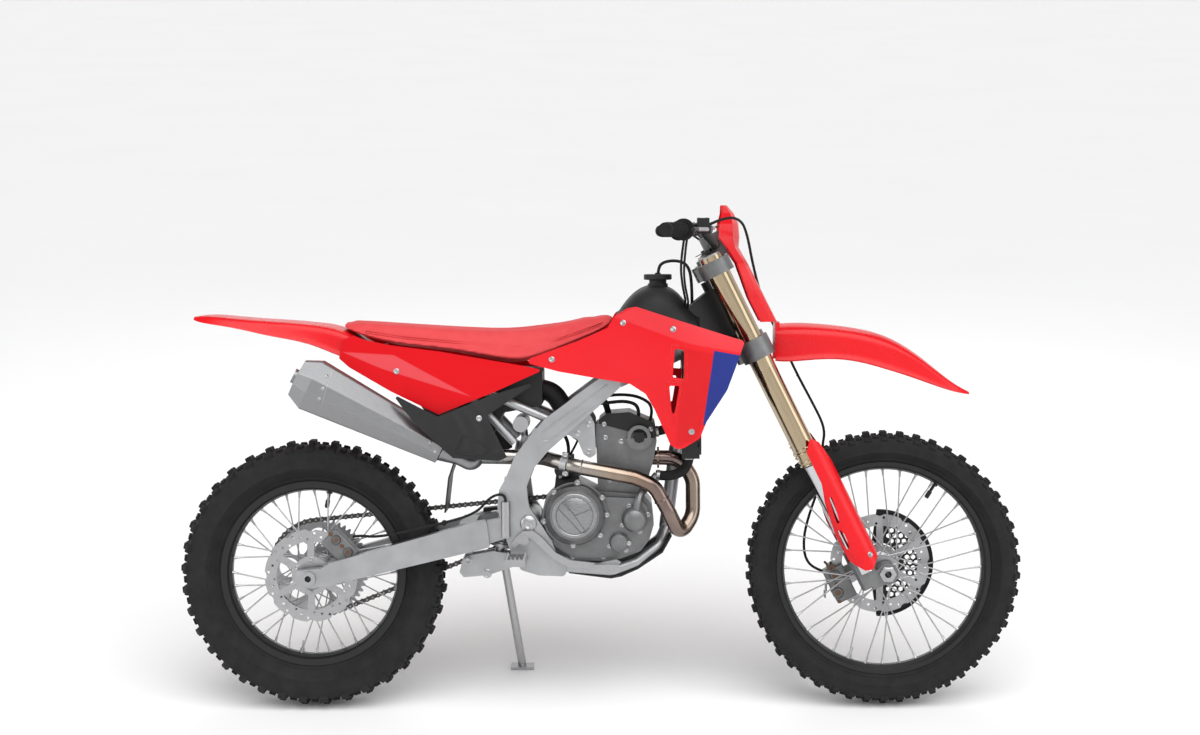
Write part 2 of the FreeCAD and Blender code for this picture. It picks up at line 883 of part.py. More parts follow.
for end, axle_point in (("front", FRONT_AXLE), ("rear", REAR_AXLE)):
    feature(end + "_tyre", tyre(end))
    register(rim(end), end + "_rim", at_point(axle_point))
feature("front_hub", hub("front", 1), at_point(FRONT_AXLE))
feature("rear_hub", hub("rear", -1), at_point(REAR_AXLE))
feature("front_disc", brake_disc("front", 1), at_point(FRONT_AXLE))
feature("rear_disc", brake_disc("rear", -1), at_point(REAR_AXLE))


# Chain drive

COUNTERSHAFT = Vector(size("countershaft_x"), 0, size("countershaft_z"))


def pitch_radius(end):
    teeth = size(end + "_sprocket_teeth")
    return size("chain_pitch") / 2 / math.sin(math.pi / teeth)


def sprocket(end, centre, bore):
    """Toothed sprocket about its own Y axis, with round windows if it is large."""
    teeth = int(size(end + "_sprocket_teeth"))
    pitch = pitch_radius(end)
    tip, root = pitch + 0.3 * size("chain_pitch"), pitch - 0.3 * size("chain_pitch")
    y = size("chain_line") - size("sprocket_thickness") / 2
    corners = []
    for i in range(teeth):
        middle = 2 * math.pi * i / teeth
        step = math.pi / teeth
        for radius, share in ((root, -0.8), (tip, -0.25), (tip, 0.25), (root, 0.8)):
            angle = middle + share * step
            corners.append((centre.x + radius * math.cos(angle), centre.z + radius * math.sin(angle)))
    wheel = prism(corners, y, y + size("sprocket_thickness"))
    cuts = [Part.makeCylinder(bore, size("sprocket_thickness"),
                              Vector(centre.x, y, centre.z), LEFTWARD)]
    if pitch > 3 * bore:
        middle_radius = (bore + root) / 2
        window = 0.62 * (root - bore) / 2
        for i in range(8):
            angle = math.pi * i / 4
            place = Vector(centre.x + middle_radius * math.cos(angle), y,
                           centre.z + middle_radius * math.sin(angle))
            cuts.append(Part.makeCylinder(window, size("sprocket_thickness"), place, LEFTWARD))
    return wheel.cut(Part.makeCompound(cuts))


feature("rear_sprocket", sprocket("rear", REAR_AXLE, size("sprocket_bore")))
front_teeth = sprocket("front", COUNTERSHAFT, size("countershaft_radius"))
shaft_end = rod(COUNTERSHAFT + LEFTWARD * size("case_left"),
                COUNTERSHAFT + LEFTWARD * (size("chain_line") + 2 * size("sprocket_thickness")),
                size("countershaft_radius"))
feature("front_sprocket", joined([front_teeth, shaft_end]))


def chain_wire(offset, y):
    """Closed line round both sprockets in short runs, a given distance outside the pitch line."""
    line = COUNTERSHAFT - REAR_AXLE
    slope = math.atan2(line.z, line.x)
    turn = math.asin((pitch_radius("rear") - pitch_radius("front")) / line.Length)
    points = []
    rear_start, front_start = slope + math.pi / 2 - turn, slope - math.pi / 2 + turn
    for centre, end, start, sweep in ((REAR_AXLE, "rear", rear_start, math.pi + 2 * turn),
                                      (COUNTERSHAFT, "front", front_start, math.pi - 2 * turn)):
        runs = int(size(end + "_chain_runs"))
        radius = (pitch_radius(end) + offset) / math.cos(sweep / runs / 2)
        for run in range(runs + 1):
            angle = start + sweep * run / runs
            points.append(Vector(centre.x + radius * math.cos(angle), y, centre.z + radius * math.sin(angle)))
    return Part.makePolygon(points + points[:1])


def chain():
    """Closed band as wide and high as the chain, open in the middle where the teeth run."""
    half = size("chain_half_width")
    y = size("chain_line") - half
    outer = Part.Face(chain_wire(size("chain_height") / 2, y)).extrude(LEFTWARD * (2 * half))
    inner = Part.Face(chain_wire(-size("chain_height") / 2, y)).extrude(LEFTWARD * (2 * half))
    slot_half = size("sprocket_thickness") / 2 + size("seat_gap")
    y = size("chain_line") - slot_half
    slot = Part.Face(chain_wire(0.36 * size("chain_pitch"), y)).extrude(LEFTWARD * (2 * slot_half))
    return outer.cut(inner).cut(slot)


feature("drive_chain", chain())


# Axles

def axle(centre, half, end, spacers):
    """Hollow axle with a head on the left, a nut on the right and a spacer each side."""
    radius = size(end + "_axle_radius")
    bore = size(end + "_axle_bore")
    head, head_length = size("axle_head_radius"), size("axle_head_length")
    shapes = [rod(centre - LEFTWARD * (half + head_length),
                  centre + LEFTWARD * (half + head_length), radius)]
    for side in SIDES:
        shapes.append(rod(centre + LEFTWARD * (side * half),
                          centre + LEFTWARD * (side * (half + head_length)), head))
    for start, stop in spacers:
        shapes.append(rod(centre + LEFTWARD * start, centre + LEFTWARD * stop, head))
    solid = joined(shapes)
    return solid.cut(rod(centre - LEFTWARD * (half + 2 * head_length),
                         centre + LEFTWARD * (half + 2 * head_length), bore))


play = size("seat_gap")
front_half = size("lug_outer")
front_disc_face = size("front_disc_offset") + size("disc_thickness") / 2
rear_disc_face = size("rear_disc_offset") + size("disc_thickness") / 2
feature("front_axle", axle(FRONT_AXLE, front_half, "front", [
    (-size("lug_inner"), -size("front_hub_half_length") - play),
    (front_disc_face + play, size("lug_inner"))]))
feature("rear_axle", axle(REAR_AXLE, size("beam_outer"), "rear", [
    (-size("beam_inner"), -rear_disc_face - play),
    (size("chain_line") + size("sprocket_thickness") / 2 + play, size("beam_inner"))]))


# Fork, clamps and front end, modelled in the fork frame

def both_sides(shape):
    return Part.makeCompound([shape, mirrored(shape)])


def fork_outer_tube():
    """One gold tube, thinner below the lower clamp, with its seal collar and top cap."""
    y = size("fork_spread")
    low, clamp = size("outer_tube_bottom"), size("lower_clamp_height")
    top = size("outer_tube_top")
    step = clamp - size("outer_tube_radius")
    thin, thick = size("outer_tube_low_radius"), size("outer_tube_radius")
    collar, collar_radius = size("seal_collar_length"), size("seal_collar_radius")
    shapes = [
        rod(Vector(0, y, low), Vector(0, y, low + collar), thin + size("collar_lap")),
        rod(Vector(0, y, low + collar / 4), Vector(0, y, low + collar / 2), collar_radius),
        rod(Vector(0, y, low + collar), Vector(0, y, step), thin),
        cone(Vector(0, y, step), Vector(0, y, clamp), thin, thick),
        rod(Vector(0, y, clamp), Vector(0, y, top), thick),
        rod(Vector(0, y, top), Vector(0, y, top + size("stem_nut_height") / 2), thick * 0.8),
    ]
    return joined(shapes)


def fork_lug():
    """Cast lug that holds one inner tube and one end of the axle."""
    y, lead = size("fork_spread"), size("axle_lead")
    radius, axle_radius = size("lug_radius"), size("lug_axle_radius")
    inner, outer = size("lug_inner"), size("lug_outer")
    height = size("lug_height")
    socket = rod(Vector(0, y, -axle_radius / 2), Vector(0, y, height), radius)
    clamp = rod(Vector(lead, inner, 0), Vector(lead, outer, 0), axle_radius)
    bridge = box(lead, outer - inner, 1.6 * axle_radius, Vector(lead / 2, (inner + outer) / 2, 0))
    lug = joined([socket, clamp, bridge])
    keep = box(8 * radius, outer - inner, 4 * height, Vector(0, (inner + outer) / 2, 0))
    lug = lug.common(keep)
    bore = rod(Vector(lead, 0, 0), Vector(lead, 2 * outer, 0), size("front_axle_radius"))
    seat = rod(Vector(0, y, axle_radius), Vector(0, y, 2 * height), size("inner_tube_radius"))
    return lug.cut(bore).cut(seat)


feature("fork_outer_tubes", both_sides(fork_outer_tube()), FORK)
inner_tube = rod(Vector(0, size("fork_spread"), size("lug_axle_radius")),
                 Vector(0, size("fork_spread"), size("outer_tube_bottom")),
                 size("inner_tube_radius"))
feature("fork_inner_tubes", both_sides(inner_tube), FORK)
feature("fork_lugs", both_sides(fork_lug()), FORK)


def clamp_plate(height, depth):
    """Clamp plate with a ring round each tube and a waist at the stem."""
    y, ring = size("fork_spread"), size("outer_tube_radius") + size("clamp_wall")
    back = size("clamp_offset")
    base = Vector(0, 0, height)
    top = Vector(0, 0, depth)
    rings = [rod(base + LEFTWARD * (side * y), base + LEFTWARD * (side * y) + top, ring)
             for side in SIDES]
    hub_part = rod(base - FORWARD * back, base - FORWARD * back + top, ring * 0.85)
    waist = [(-ring * 0.55, -y), (-ring * 0.8 - back * 0.5, 0), (-ring * 0.55, y),
             (ring * 0.75, y), (ring * 0.35, 0), (ring * 0.75, -y)]
    web = Part.Face(Part.makePolygon([Vector(u, v, height) for u, v in waist + waist[:1]]))
    return joined(rings + [hub_part, web.extrude(top)])


def triple_clamps():
    """Both clamps on the steering stem, with pinch lugs behind each tube."""
    low, high = size("lower_clamp_height"), size("upper_clamp_height")
    low_depth, high_depth = size("lower_clamp_depth"), size("upper_clamp_depth")
    back = size("clamp_offset")
    stem = rod(Vector(-back, 0, low), Vector(-back, 0, high + high_depth + size("stem_nut_height")),
               size("stem_radius"))
    nut = rod(Vector(-back, 0, high + high_depth),
              Vector(-back, 0, high + high_depth + size("stem_nut_height")),
              size("stem_nut_radius"))
    shapes = [clamp_plate(low, low_depth), clamp_plate(high, high_depth), stem, nut]
    ring = size("outer_tube_radius") + size("clamp_wall")
    for height, depth in ((low, low_depth), (high, high_depth)):
        for side in SIDES:
            shapes.append(box(ring * 0.9, ring * 0.7, depth * 0.8,
                              Vector(-ring * 0.75, side * (size("fork_spread") - ring * 0.4),
                                     height + depth / 2)))
    solid = joined(shapes)
    for side in SIDES:
        tube_way = rod(Vector(0, side * size("fork_spread"), low - size("collar_lap")),
                       Vector(0, side * size("fork_spread"), high + 2 * high_depth),
                       size("outer_tube_radius"))
        solid = solid.cut(tube_way)
    return solid


feature("triple_clamps", triple_clamps(), FORK)

GUARD_LINE_SHARES = [(-1.00, 0.78), (-0.35, 1.32), (0.55, 1.33), (1.25, 0.92), (1.60, 0.20),
                     (1.55, -0.55)]
GUARD_SIDE_SHARES = [(-0.95, 0.12), (-1.05, 0.30), (-0.62, 0.55), (-0.12, 0.68), (-0.10, 0.92),
                     (0.75, 1.00), (1.30, 0.94), (1.80, 0.70), (1.95, 0.42), (1.98, 0.16),
                     (1.45, 0.06), (0.60, 0.00), (-0.10, 0.02)]
GUARD_SLOT_SHARES = [
    [(-0.02, 0.575), (0.155, 0.575), (0.055, 0.515), (-0.07, 0.451), (-0.23, 0.391), (-0.435, 0.392),
     (-0.355, 0.455), (-0.21, 0.518)],
    [(-0.62, 0.346), (-0.47, 0.343), (-0.28, 0.306), (-0.32, 0.255), (-0.45, 0.199), (-0.665, 0.200),
     (-0.78, 0.248), (-0.73, 0.296)],
]


def fork_guard():
    """Moulded guard that wraps the front and outer side of one inner tube, with two slots."""
    reach = size("seal_collar_radius") - size("seat_gap") * 5
    y, wall = size("fork_spread"), size("panel_wall")
    low, length = size("fork_guard_bottom"), size("fork_guard_length")
    points = [Vector(u * reach, y + v * reach, low - wall) for u, v in GUARD_LINE_SHARES]
    section = arch_section(points, Vector(0, y, low - wall), wall)
    shell = Part.Face(section).extrude(UP * (length + 4 * wall))
    side = [(u * reach, low + v * length) for u, v in GUARD_SIDE_SHARES]
    guard = shell.common(prism(side, y - 2 * reach, y + 2 * reach, reach / 4))
    for shares in GUARD_SLOT_SHARES:
        slot = [(u * reach, low + v * length) for u, v in shares]
        guard = guard.cut(prism(slot, y, y + 2 * reach, reach / 25))
    lug = rod(Vector(0, y, -low), Vector(0, y, size("lug_height")), size("lug_radius"))
    clip = box(0.7 * reach, reach / 2, reach / 2,
               Vector(1.15 * reach, y - 0.15 * reach, 0.85 * size("lug_height"))).cut(lug)
    return joined([guard, largest(clip)])


feature("fork_guards", both_sides(fork_guard()), FORK)


# Bodywork round the steering

FENDER_STATION_SHARES = [
    # along, crown, edge, half width at the crown side, half width at the edge
    (0.00, 0.98, 0.50, 0.70, 0.84),
    (0.12, 1.00, 0.50, 0.80, 0.98),
    (0.32, 0.96, 0.52, 0.82, 1.00),
    (0.54, 0.84, 0.40, 0.78, 0.98),
    (0.78, 0.46, 0.18, 0.70, 0.86),
    (0.93, 0.14, 0.04, 0.58, 0.68),
    (1.00, 0.03, 0.00, 0.42, 0.50),
]


def saddle_section(x, crown, edge, top_half, edge_half, wall):
    """Section of a mudguard: a crown, rounded shoulders and two skirts."""
    rise = crown - edge
    outer = [(-edge_half, edge), (-0.5 * (edge_half + top_half), edge + 0.45 * rise),
             (-top_half, edge + 0.82 * rise), (-0.6 * top_half, crown - 0.05 * rise), (0, crown),
             (0.6 * top_half, crown - 0.05 * rise), (top_half, edge + 0.82 * rise),
             (0.5 * (edge_half + top_half), edge + 0.45 * rise), (edge_half, edge)]
    points = [Vector(x, y, z) for y, z in outer]
    return arch_section(points, Vector(x, 0, edge - rise), wall)


def fender_sections(piece, table):
    x, z = size(piece + "_x"), size(piece + "_z")
    length, height = size(piece + "_length"), size(piece + "_height")
    half = size(piece + "_half_width")
    return [saddle_section(x + a * length, z + top * height, z + low * height,
                           wide * half, edge * half, size("fender_wall"))
            for a, top, low, wide, edge in table]


def front_fender():
    """Front mudguard with its mounting tongue under the lower clamp."""
    shell = Part.makeLoft(fender_sections("front_fender", FENDER_STATION_SHARES), True)
    wall = size("fender_wall")
    tongue = Part.makeBox(2.6 * size("clamp_offset"), 0.9 * size("fork_spread"), wall,
                          Vector(-0.4 * size("clamp_offset"), -0.45 * size("fork_spread"),
                                 size("lower_clamp_height") - wall))
    tongue.Placement = FORK.multiply(tongue.Placement)
    front = fork_point(2.1 * size("clamp_offset"), 0, size("lower_clamp_height") - wall)
    riser = Part.makeBox(3 * wall, 0.9 * size("fork_spread"), size("front_fender_height") * 0.42,
                         Vector(size("front_fender_x"), -0.45 * size("fork_spread"), front.z - wall))
    return joined([shell, tongue, riser])


feature("front_fender", front_fender())

PLATE_STATION_SHARES = [
    # height, front, edge, half width
    (0.00, 1.00, 0.72, 0.44),
    (0.20, 0.80, 0.52, 0.45),
    (0.50, 0.50, 0.31, 0.60),
    (0.64, 0.34, 0.12, 0.92),
    (0.72, 0.36, 0.00, 1.00),
    (0.84, 0.34, 0.02, 0.92),
    (0.93, 0.26, 0.06, 0.60),
    (1.00, 0.14, 0.06, 0.26),
]
PLATE_BOW_SHARES = [(-1.0, 0.0), (-0.78, 0.62), (-0.4, 0.92), (0.0, 1.0), (0.4, 0.92), (0.78, 0.62),
                    (1.0, 0.0)]


def number_plate():
    """Front plate ahead of the bars, on a leg down to the mudguard."""
    x, z = size("number_plate_x"), size("number_plate_z")
    length, height = size("number_plate_length"), size("number_plate_height")
    half, wall = size("number_plate_half_width"), size("panel_wall")
    sections = []
    for level, front, edge, wide in PLATE_STATION_SHARES:
        front_x, edge_x = x + front * length, x + edge * length
        level_z, width = z + level * height, wide * half
        outer = [Vector(edge_x + bow * (front_x - edge_x), across * width, level_z)
                 for across, bow in PLATE_BOW_SHARES]
        inner = [point - FORWARD * wall for point in outer]
        sections.append(outer + inner[::-1])
    return straight_loft(sections)


feature("number_plate", number_plate())


# Handlebar and what it carries

BAR_CENTRE = Vector(size("bar_x"), 0, size("bar_z"))


def bar_point(y):
    """Point of the straight outer run of the bar, at a distance from the middle."""
    bend = Vector(size("bar_bend_x"), size("bar_bend_y"), size("bar_z") + size("bar_rise"))
    end = Vector(size("bar_end_x"), size("bar_end_y"), bend.z)
    share = (abs(y) - bend.y) / (end.y - bend.y)
    point = bend + (end - bend) * share
    return Vector(point.x, math.copysign(point.y, y), point.z)


def handlebar():
    """Bar with a thick clamped middle and thinner bent ends."""
    middle = rod(BAR_CENTRE - LEFTWARD * size("bar_clamp_half"),
                 BAR_CENTRE + LEFTWARD * size("bar_clamp_half"), size("bar_clamp_radius"))
    start = BAR_CENTRE + LEFTWARD * size("bar_clamp_half")
    neck = start + LEFTWARD * (size("bar_clamp_half") / 2)
    taper = cone(start, neck, size("bar_clamp_radius"), size("bar_radius"))
    arm = tube([neck, neck + LEFTWARD * (size("bar_clamp_half") / 3),
                bar_point(size("bar_bend_y")), bar_point(size("bar_end_y"))],
               size("bar_radius"), 3 * size("bar_radius"))
    half = joined([taper, arm])
    return joined([middle, half, mirrored(half)])


feature("handlebar", handlebar())


def grips():
    """Rubber grips with an inner flange, over the ends of the bar."""
    end, length = size("bar_end_y"), size("grip_length")
    inner, outer = bar_point(end - length), bar_point(end)
    past = outer + (outer - inner).normalize() * size("grip_flange")
    flange = inner + (outer - inner).normalize() * size("grip_flange")
    grip = joined([rod(inner, past, size("grip_radius")),
                   rod(inner, flange, size("grip_flange_radius"))])
    back = inner - (outer - inner).normalize() * size("overrun")
    grip = grip.cut(rod(back, outer, size("bar_radius")))
    return both_sides(grip)


feature("grips", grips())


def bar_clamps():
    """Two risers on the upper clamp, with caps over the bar."""
    top = size("upper_clamp_height") + size("upper_clamp_depth")
    radius, y = size("bar_clamp_radius"), size("bar_clamp_half") / 2
    centre = FORK.inverse().multVec(BAR_CENTRE)
    wide = 2 * radius + 2 * size("clamp_wall")
    block = Part.makeBox(wide, size("clamp_wall") * 2, centre.z + radius + size("clamp_wall") - top,
                         Vector(centre.x - wide / 2, y - size("clamp_wall"), top))
    foot = Part.makeBox(wide + abs(centre.x), size("clamp_wall") * 2, size("clamp_wall"),
                        Vector(-wide / 2, y - size("clamp_wall"), top))
    block = joined([block, foot]) if centre.x > 0 else block
    bore = rod(Vector(centre.x, 0, centre.z), Vector(centre.x, 2 * y + wide, centre.z), radius)
    return both_sides(block.cut(bore))


feature("bar_clamps", bar_clamps(), FORK)


def lever_blade(side):
    """Tapered lever blade ahead of one grip."""
    gap, radius = size("blade_gap"), size("blade_radius")
    root = bar_point(side * (size("perch_y") + size("perch_length") / 2))
    tip = bar_point(side * (size("bar_end_y") - size("grip_flange_radius")))
    near = root + FORWARD * (gap * 0.75)
    knee = near + (tip - root) * 0.35 + FORWARD * (gap * 0.30)
    far = tip + FORWARD * gap
    return tube([near, knee, far], radius, gap / 2)


def controls():
    """Lever perches with blades, the brake reservoir and the switch and throttle housings."""
    shapes = []
    for side in SIDES:
        inner = bar_point(side * (size("perch_y") - size("perch_length") / 2))
        outer = bar_point(side * (size("perch_y") + size("perch_length") / 2))
        collar = rod(inner, outer, size("perch_radius"))
        arm_end = outer + FORWARD * (size("blade_gap") * 0.95)
        arm = rod((inner + outer) * 0.5, arm_end, size("perch_radius") * 0.6)
        shapes_side = [collar, arm, lever_blade(side)]
        housing_in = bar_point(side * (size("bar_end_y") - size("grip_length") - size("grip_flange") * 5))
        housing_out = bar_point(side * (size("bar_end_y") - size("grip_length") - size("seat_gap")))
        housing = rod(housing_in, housing_out, size("perch_radius") * 1.25)
        if side < 0:
            centre = (inner + outer) * 0.5 + FORWARD * (size("reservoir_width") * 0.9)
            tank = box(size("reservoir_width"), size("reservoir_length"), size("reservoir_height"),
                       centre + UP * (size("reservoir_height") * 0.45))
            shapes_side.append(tank)
        solid = joined(shapes_side + [housing])
        way = rod(bar_point(side * size("bar_bend_y")), bar_point(side * size("bar_end_y")),
                  size("bar_radius"))
        shapes.append(solid.cut(way))
    return Part.makeCompound(shapes)


feature("controls", controls())


# Front brake

def caliper(radius, y, thickness, angle, arc_length, reach_in, reach_out):
    """Caliper body over a disc's edge about the Y axis, with a slot for the disc."""
    slot = thickness + 2 * size("clearance")
    depth = size("disc_band") + 3 * size("clearance")
    body = box(depth + size("clearance") * 2, reach_out - reach_in, arc_length,
               Vector(radius - depth / 2 + size("clearance") * 2, (reach_in + reach_out) / 2, 0))
    body = body.makeFillet(size("clearance"), body.Edges)
    gap = box(depth * 2, slot, arc_length * 2,
              Vector(radius - depth + size("clearance") * 1.2, y, 0))
    body = body.cut(gap)
    body.rotate(Vector(), LEFTWARD, angle)
    return body


def front_caliper():
    """Caliper behind the left fork leg, with an arm to the lug."""
    y, thick = size("front_disc_offset"), size("disc_thickness")
    radius = size("front_disc_radius")
    outer = size("lug_outer") - size("clearance") * 3
    body = caliper(radius, y, thick, 180, size("front_caliper_length"),
                   y - size("front_caliper_depth"), outer)
    body.translate(Vector(size("axle_lead"), 0, 0))
    lug = size("lug_radius")
    arm = box(3 * lug, size("clamp_wall"), 1.2 * lug,
              Vector(-1.5 * lug, size("lug_inner") + size("clamp_wall") / 2, 0.4 * lug))
    arm = arm.cut(rod(Vector(0, size("fork_spread"), -8 * lug), Vector(0, size("fork_spread"), 8 * lug), lug))
    way = Part.makeCylinder(radius + size("clearance"), thick + 2 * size("clearance"),
                            Vector(size("axle_lead"), y - thick / 2 - size("clearance"), 0), LEFTWARD)
    clamp_way = rod(Vector(size("axle_lead"), 0, 0), Vector(size("axle_lead"), 2 * outer, 0),
                    size("lug_axle_radius") + size("caliper_lug_gap"))
    return largest(joined([body, arm]).cut(way).cut(clamp_way))


feature("front_caliper", front_caliper(), FORK)


def disc_guard():
    """Pierced guard over the front of the disc, with a rim round its edge and a mounting pad."""
    inner, radius = size("guard_inner_radius"), size("guard_radius")
    y, wall, lip = size("guard_offset"), size("guard_thickness"), size("guard_rim")
    base = Vector(0, y, 0)
    plate = rod(base, base + LEFTWARD * wall, radius)
    plate = plate.cut(rod(base, base + LEFTWARD * wall, inner))
    edge = rod(base - LEFTWARD * lip, base + LEFTWARD * wall, radius)
    edge = edge.cut(rod(base - LEFTWARD * lip, base + LEFTWARD * wall, radius - wall))
    back = [(-2 * radius, -2 * radius), (0.1 * radius, -2 * radius), (-0.2 * radius, 0),
            (0.1 * radius, 2 * radius), (-2 * radius, 2 * radius)]
    guard = joined([plate, edge]).cut(prism(back, y - 2 * lip, y + 2 * lip))
    pitch = 0.115 * radius
    rows = int(radius / pitch)
    holes = []
    for i in range(-rows, rows + 1):
        for j in range(-rows, rows + 1):
            u, v = pitch * (i + 0.5 * (j % 2)), pitch * 0.87 * j
            away = math.hypot(u, v)
            if inner + 0.6 * pitch < away < radius - 0.9 * pitch and u > 0.12 * radius:
                hexagon = [(u + 0.4 * pitch * math.cos(math.radians(60 * k + 30)),
                            v + 0.4 * pitch * math.sin(math.radians(60 * k + 30)))
                           for k in range(6)]
                holes.append(prism(hexagon, y, y + wall))
    guard = guard.cut(Part.makeCompound(holes))
    lug, pad = size("lug_axle_radius"), size("clamp_wall")
    strip = box(inner + pad - 0.8 * lug, wall, pad, Vector((inner + pad + 0.8 * lug) / 2, y + wall / 2, 0))
    foot = box(pad / 2, size("lug_inner") - y, pad,
               Vector(0.8 * lug + pad / 4, (size("lug_inner") + y) / 2, 0))
    return joined([guard, strip, foot])


feature("disc_guard", disc_guard(), at_point(FRONT_AXLE))


# Main frame

SPAR_SHARES = [
    (1.00, 1.00), (1.00, 0.89), (0.755, 0.765), (0.41, 0.59), (0.295, 0.51), (0.235, 0.42),
    (0.255, 0.33), (0.365, 0.235), (0.44, 0.165), (0.49, 0.09), (0.555, 0.05), (0.555, 0.00),
    (0.335, 0.005), (0.19, 0.03), (0.115, 0.10), (0.045, 0.22), (0.00, 0.33), (0.015, 0.41),
    (0.065, 0.46), (0.145, 0.57), (0.27, 0.665), (0.395, 0.745), (0.80, 0.92),
]
HANGER_SHARES = [(0.09, 0.70), (0.82, 1.00), (0.97, 0.75), (1.00, 0.08), (0.86, 0.00),
                 (0.71, 0.08), (0.56, 0.41), (0.33, 0.51), (0.00, 0.32)]
DOWN_TUBE_SHARES = [(0.00, 0.00), (0.82, 0.61), (0.90, 0.73), (1.00, 1.00)]


def spar_section(side, outer, inner, low, high):
    return [Vector(low.x, side * inner, low.z), Vector(low.x, side * outer, low.z),
            Vector(high.x, side * outer, high.z), Vector(high.x, side * inner, high.z)]


def front_spar(side, grow=0):
    """Run of one spar from its plate to the head tube."""
    x = size("spar_x") + size("spar_length")
    rear = spar_section(side, size("plate_outer") + grow, size("plate_inner") - grow,
                        Vector(x, 0, size("spar_end_low") - grow),
                        Vector(x, 0, size("spar_end_high") + grow))
    back = -size("clamp_offset")
    low, high = fork_point(back, 0, size("head_join_low")), fork_point(back, 0, size("head_join_high"))
    front = spar_section(side, size("head_join_outer") + grow, size("head_join_inner") - grow,
                         low - UP * grow, high + UP * grow)
    return straight_loft([rear, front])


def cradle_points(side):
    """Rail under the engine, from the foot of the down tube back to the side plate."""
    rail = size("cradle_radius")
    x, z = size("skid_x"), size("skid_z")
    length, height = size("skid_length"), size("skid_height")
    up = size("skid_thickness") + rail
    return [Vector(x + 0.945 * length, side * 0.25 * size("case_right"), z + 1.12 * height),
            Vector(x + 0.89 * length, side * 0.60 * size("case_right"), z + 0.62 * height + up),
            Vector(x + 0.66 * length, side * 0.78 * size("case_right"), z + 0.22 * height + up),
            Vector(x + 0.42 * length, side * 0.85 * size("case_right"), z + 0.02 * height + up),
            Vector(x - 0.02 * length, side * 0.95 * size("case_right"), z + 0.13 * height + up),
            Vector(x - 0.20 * length, side * (size("plate_inner") + rail), z + 0.22 * height + up)]


def down_tube():
    """Single tube from under the head down to the cradle."""
    low = size("lower_clamp_height") + size("lower_clamp_depth") + size("head_gap")
    head_low = fork_point(-1.5 * size("clamp_offset"), 0, low + 2.6 * size("down_tube_radius"))
    foot = cradle_points(1)[0]
    foot = Vector(foot.x, 0, foot.z)
    knee = foot + (Vector(foot.x + 0.40 * (head_low.x - foot.x), 0, head_low.z) - foot) * 0.40
    return tube([head_low, knee, foot], size("down_tube_radius"), 6 * size("down_tube_radius"))


STAND_PIVOT = Vector(size("stand_pivot_x"), size("stand_pivot_y"), size("stand_pivot_z"))
STAND_HINGE = Placement(STAND_PIVOT, Rotation(Vector(1, 0, 0), size("stand_axis_tilt")))


def stand_bracket(reach):
    """Bracket that carries the stand, square to its hinge, reaching inwards from it."""
    half = size("stand_hinge_radius")
    face = -size("stand_hinge_half") - size("seat_gap")
    block = Part.makeBox(2 * half, reach, 2 * half, Vector(-half, face - reach, -half))
    arm_length = size("spar_x") + 0.2 * size("spar_length") - STAND_PIVOT.x
    block = block.fuse(Part.makeBox(arm_length, reach, half, Vector(0, face - reach, 0))).removeSplitter()
    block.Placement = STAND_HINGE
    return block


def main_frame():
    """Twin spars, head tube, side plates, down tube and cradle in one cast and welded frame."""
    spar = outline("spar", SPAR_SHARES)
    inner, outer = size("plate_inner"), size("plate_outer")
    back = -size("clamp_offset")
    low = size("lower_clamp_height") + size("lower_clamp_depth") + size("head_gap")
    high = size("upper_clamp_height") - size("head_gap")
    shapes = [rod(fork_point(back, 0, low), fork_point(back, 0, high), size("head_tube_radius"))]
    for side in SIDES:
        shapes.append(prism(spar, side * inner, side * outer, size("cradle_radius")))
        shapes.append(front_spar(side))
        hanger_edge = inner - size("hanger_thickness")
        shapes.append(prism(outline("hanger", HANGER_SHARES), side * hanger_edge,
                            side * (inner + size("hanger_thickness") / 2), size("cradle_radius") / 2))
        shapes.append(tube(cradle_points(side), size("cradle_radius"), 3 * size("cradle_radius")))
    shapes.append(down_tube())
    foot = cradle_points(1)[0]
    shapes.append(rod(foot, Vector(foot.x, -foot.y, foot.z), size("cradle_radius")))
    for x, z in ((size("cross_tube_x"), size("cross_tube_z")),
                 (size("spar_x") + 0.25 * size("spar_length"), size("spar_z") + 0.05 * size("spar_height"))):
        shapes.append(rod(Vector(x, -inner, z), Vector(x, inner, z), size("cross_tube_radius")))
    pivot = Vector(size("pivot_x"), 0, size("pivot_z"))
    bolt_end = outer + size("axle_head_length") / 2
    shapes.append(rod(pivot - LEFTWARD * bolt_end, pivot - LEFTWARD * inner, size("pivot_bolt_radius") * 1.8))
    shapes.append(rod(pivot + LEFTWARD * inner, pivot + LEFTWARD * bolt_end, size("pivot_bolt_radius") * 1.8))
    shapes.append(stand_bracket(STAND_PIVOT.y - size("stand_hinge_half") - inner))
    solid = joined(shapes)
    lap = size("collar_lap")
    stem_way = rod(fork_point(back, 0, low - lap), fork_point(back, 0, high + lap),
                   size("stem_radius") + size("steering_play"))
    return solid.cut(stem_way)


frame_shape = main_frame()
feature("main_frame", frame_shape)


def subframe():
    """Rails that carry the seat, from the side plates back under it."""
    radius = size("subframe_radius")
    inner = size("plate_inner")
    x, z = size("spar_x"), size("spar_z")
    length, height = size("spar_length"), size("spar_height")
    shapes = []
    for side in SIDES:
        front = Vector(x + 0.42 * length, side * (inner - radius), z + 0.735 * height)
        rear = Vector(x - 0.95 * length, side * 0.66 * inner, z + 1.02 * height)
        low = Vector(x + 0.14 * length, side * (inner - radius), z + 0.625 * height)
        mid = Vector(x - 0.35 * length, side * 0.82 * inner, z + 0.93 * height)
        shapes += [rod(front, mid, radius), rod(mid, rear, radius), rod(low, mid, radius)]
        shapes.append(Part.makeSphere(radius, mid))
    rear = Vector(x - 0.95 * length, 0, z + 1.02 * height)
    shapes.append(rod(rear - LEFTWARD * 0.66 * inner, rear + LEFTWARD * 0.66 * inner, radius))
    return joined(shapes)


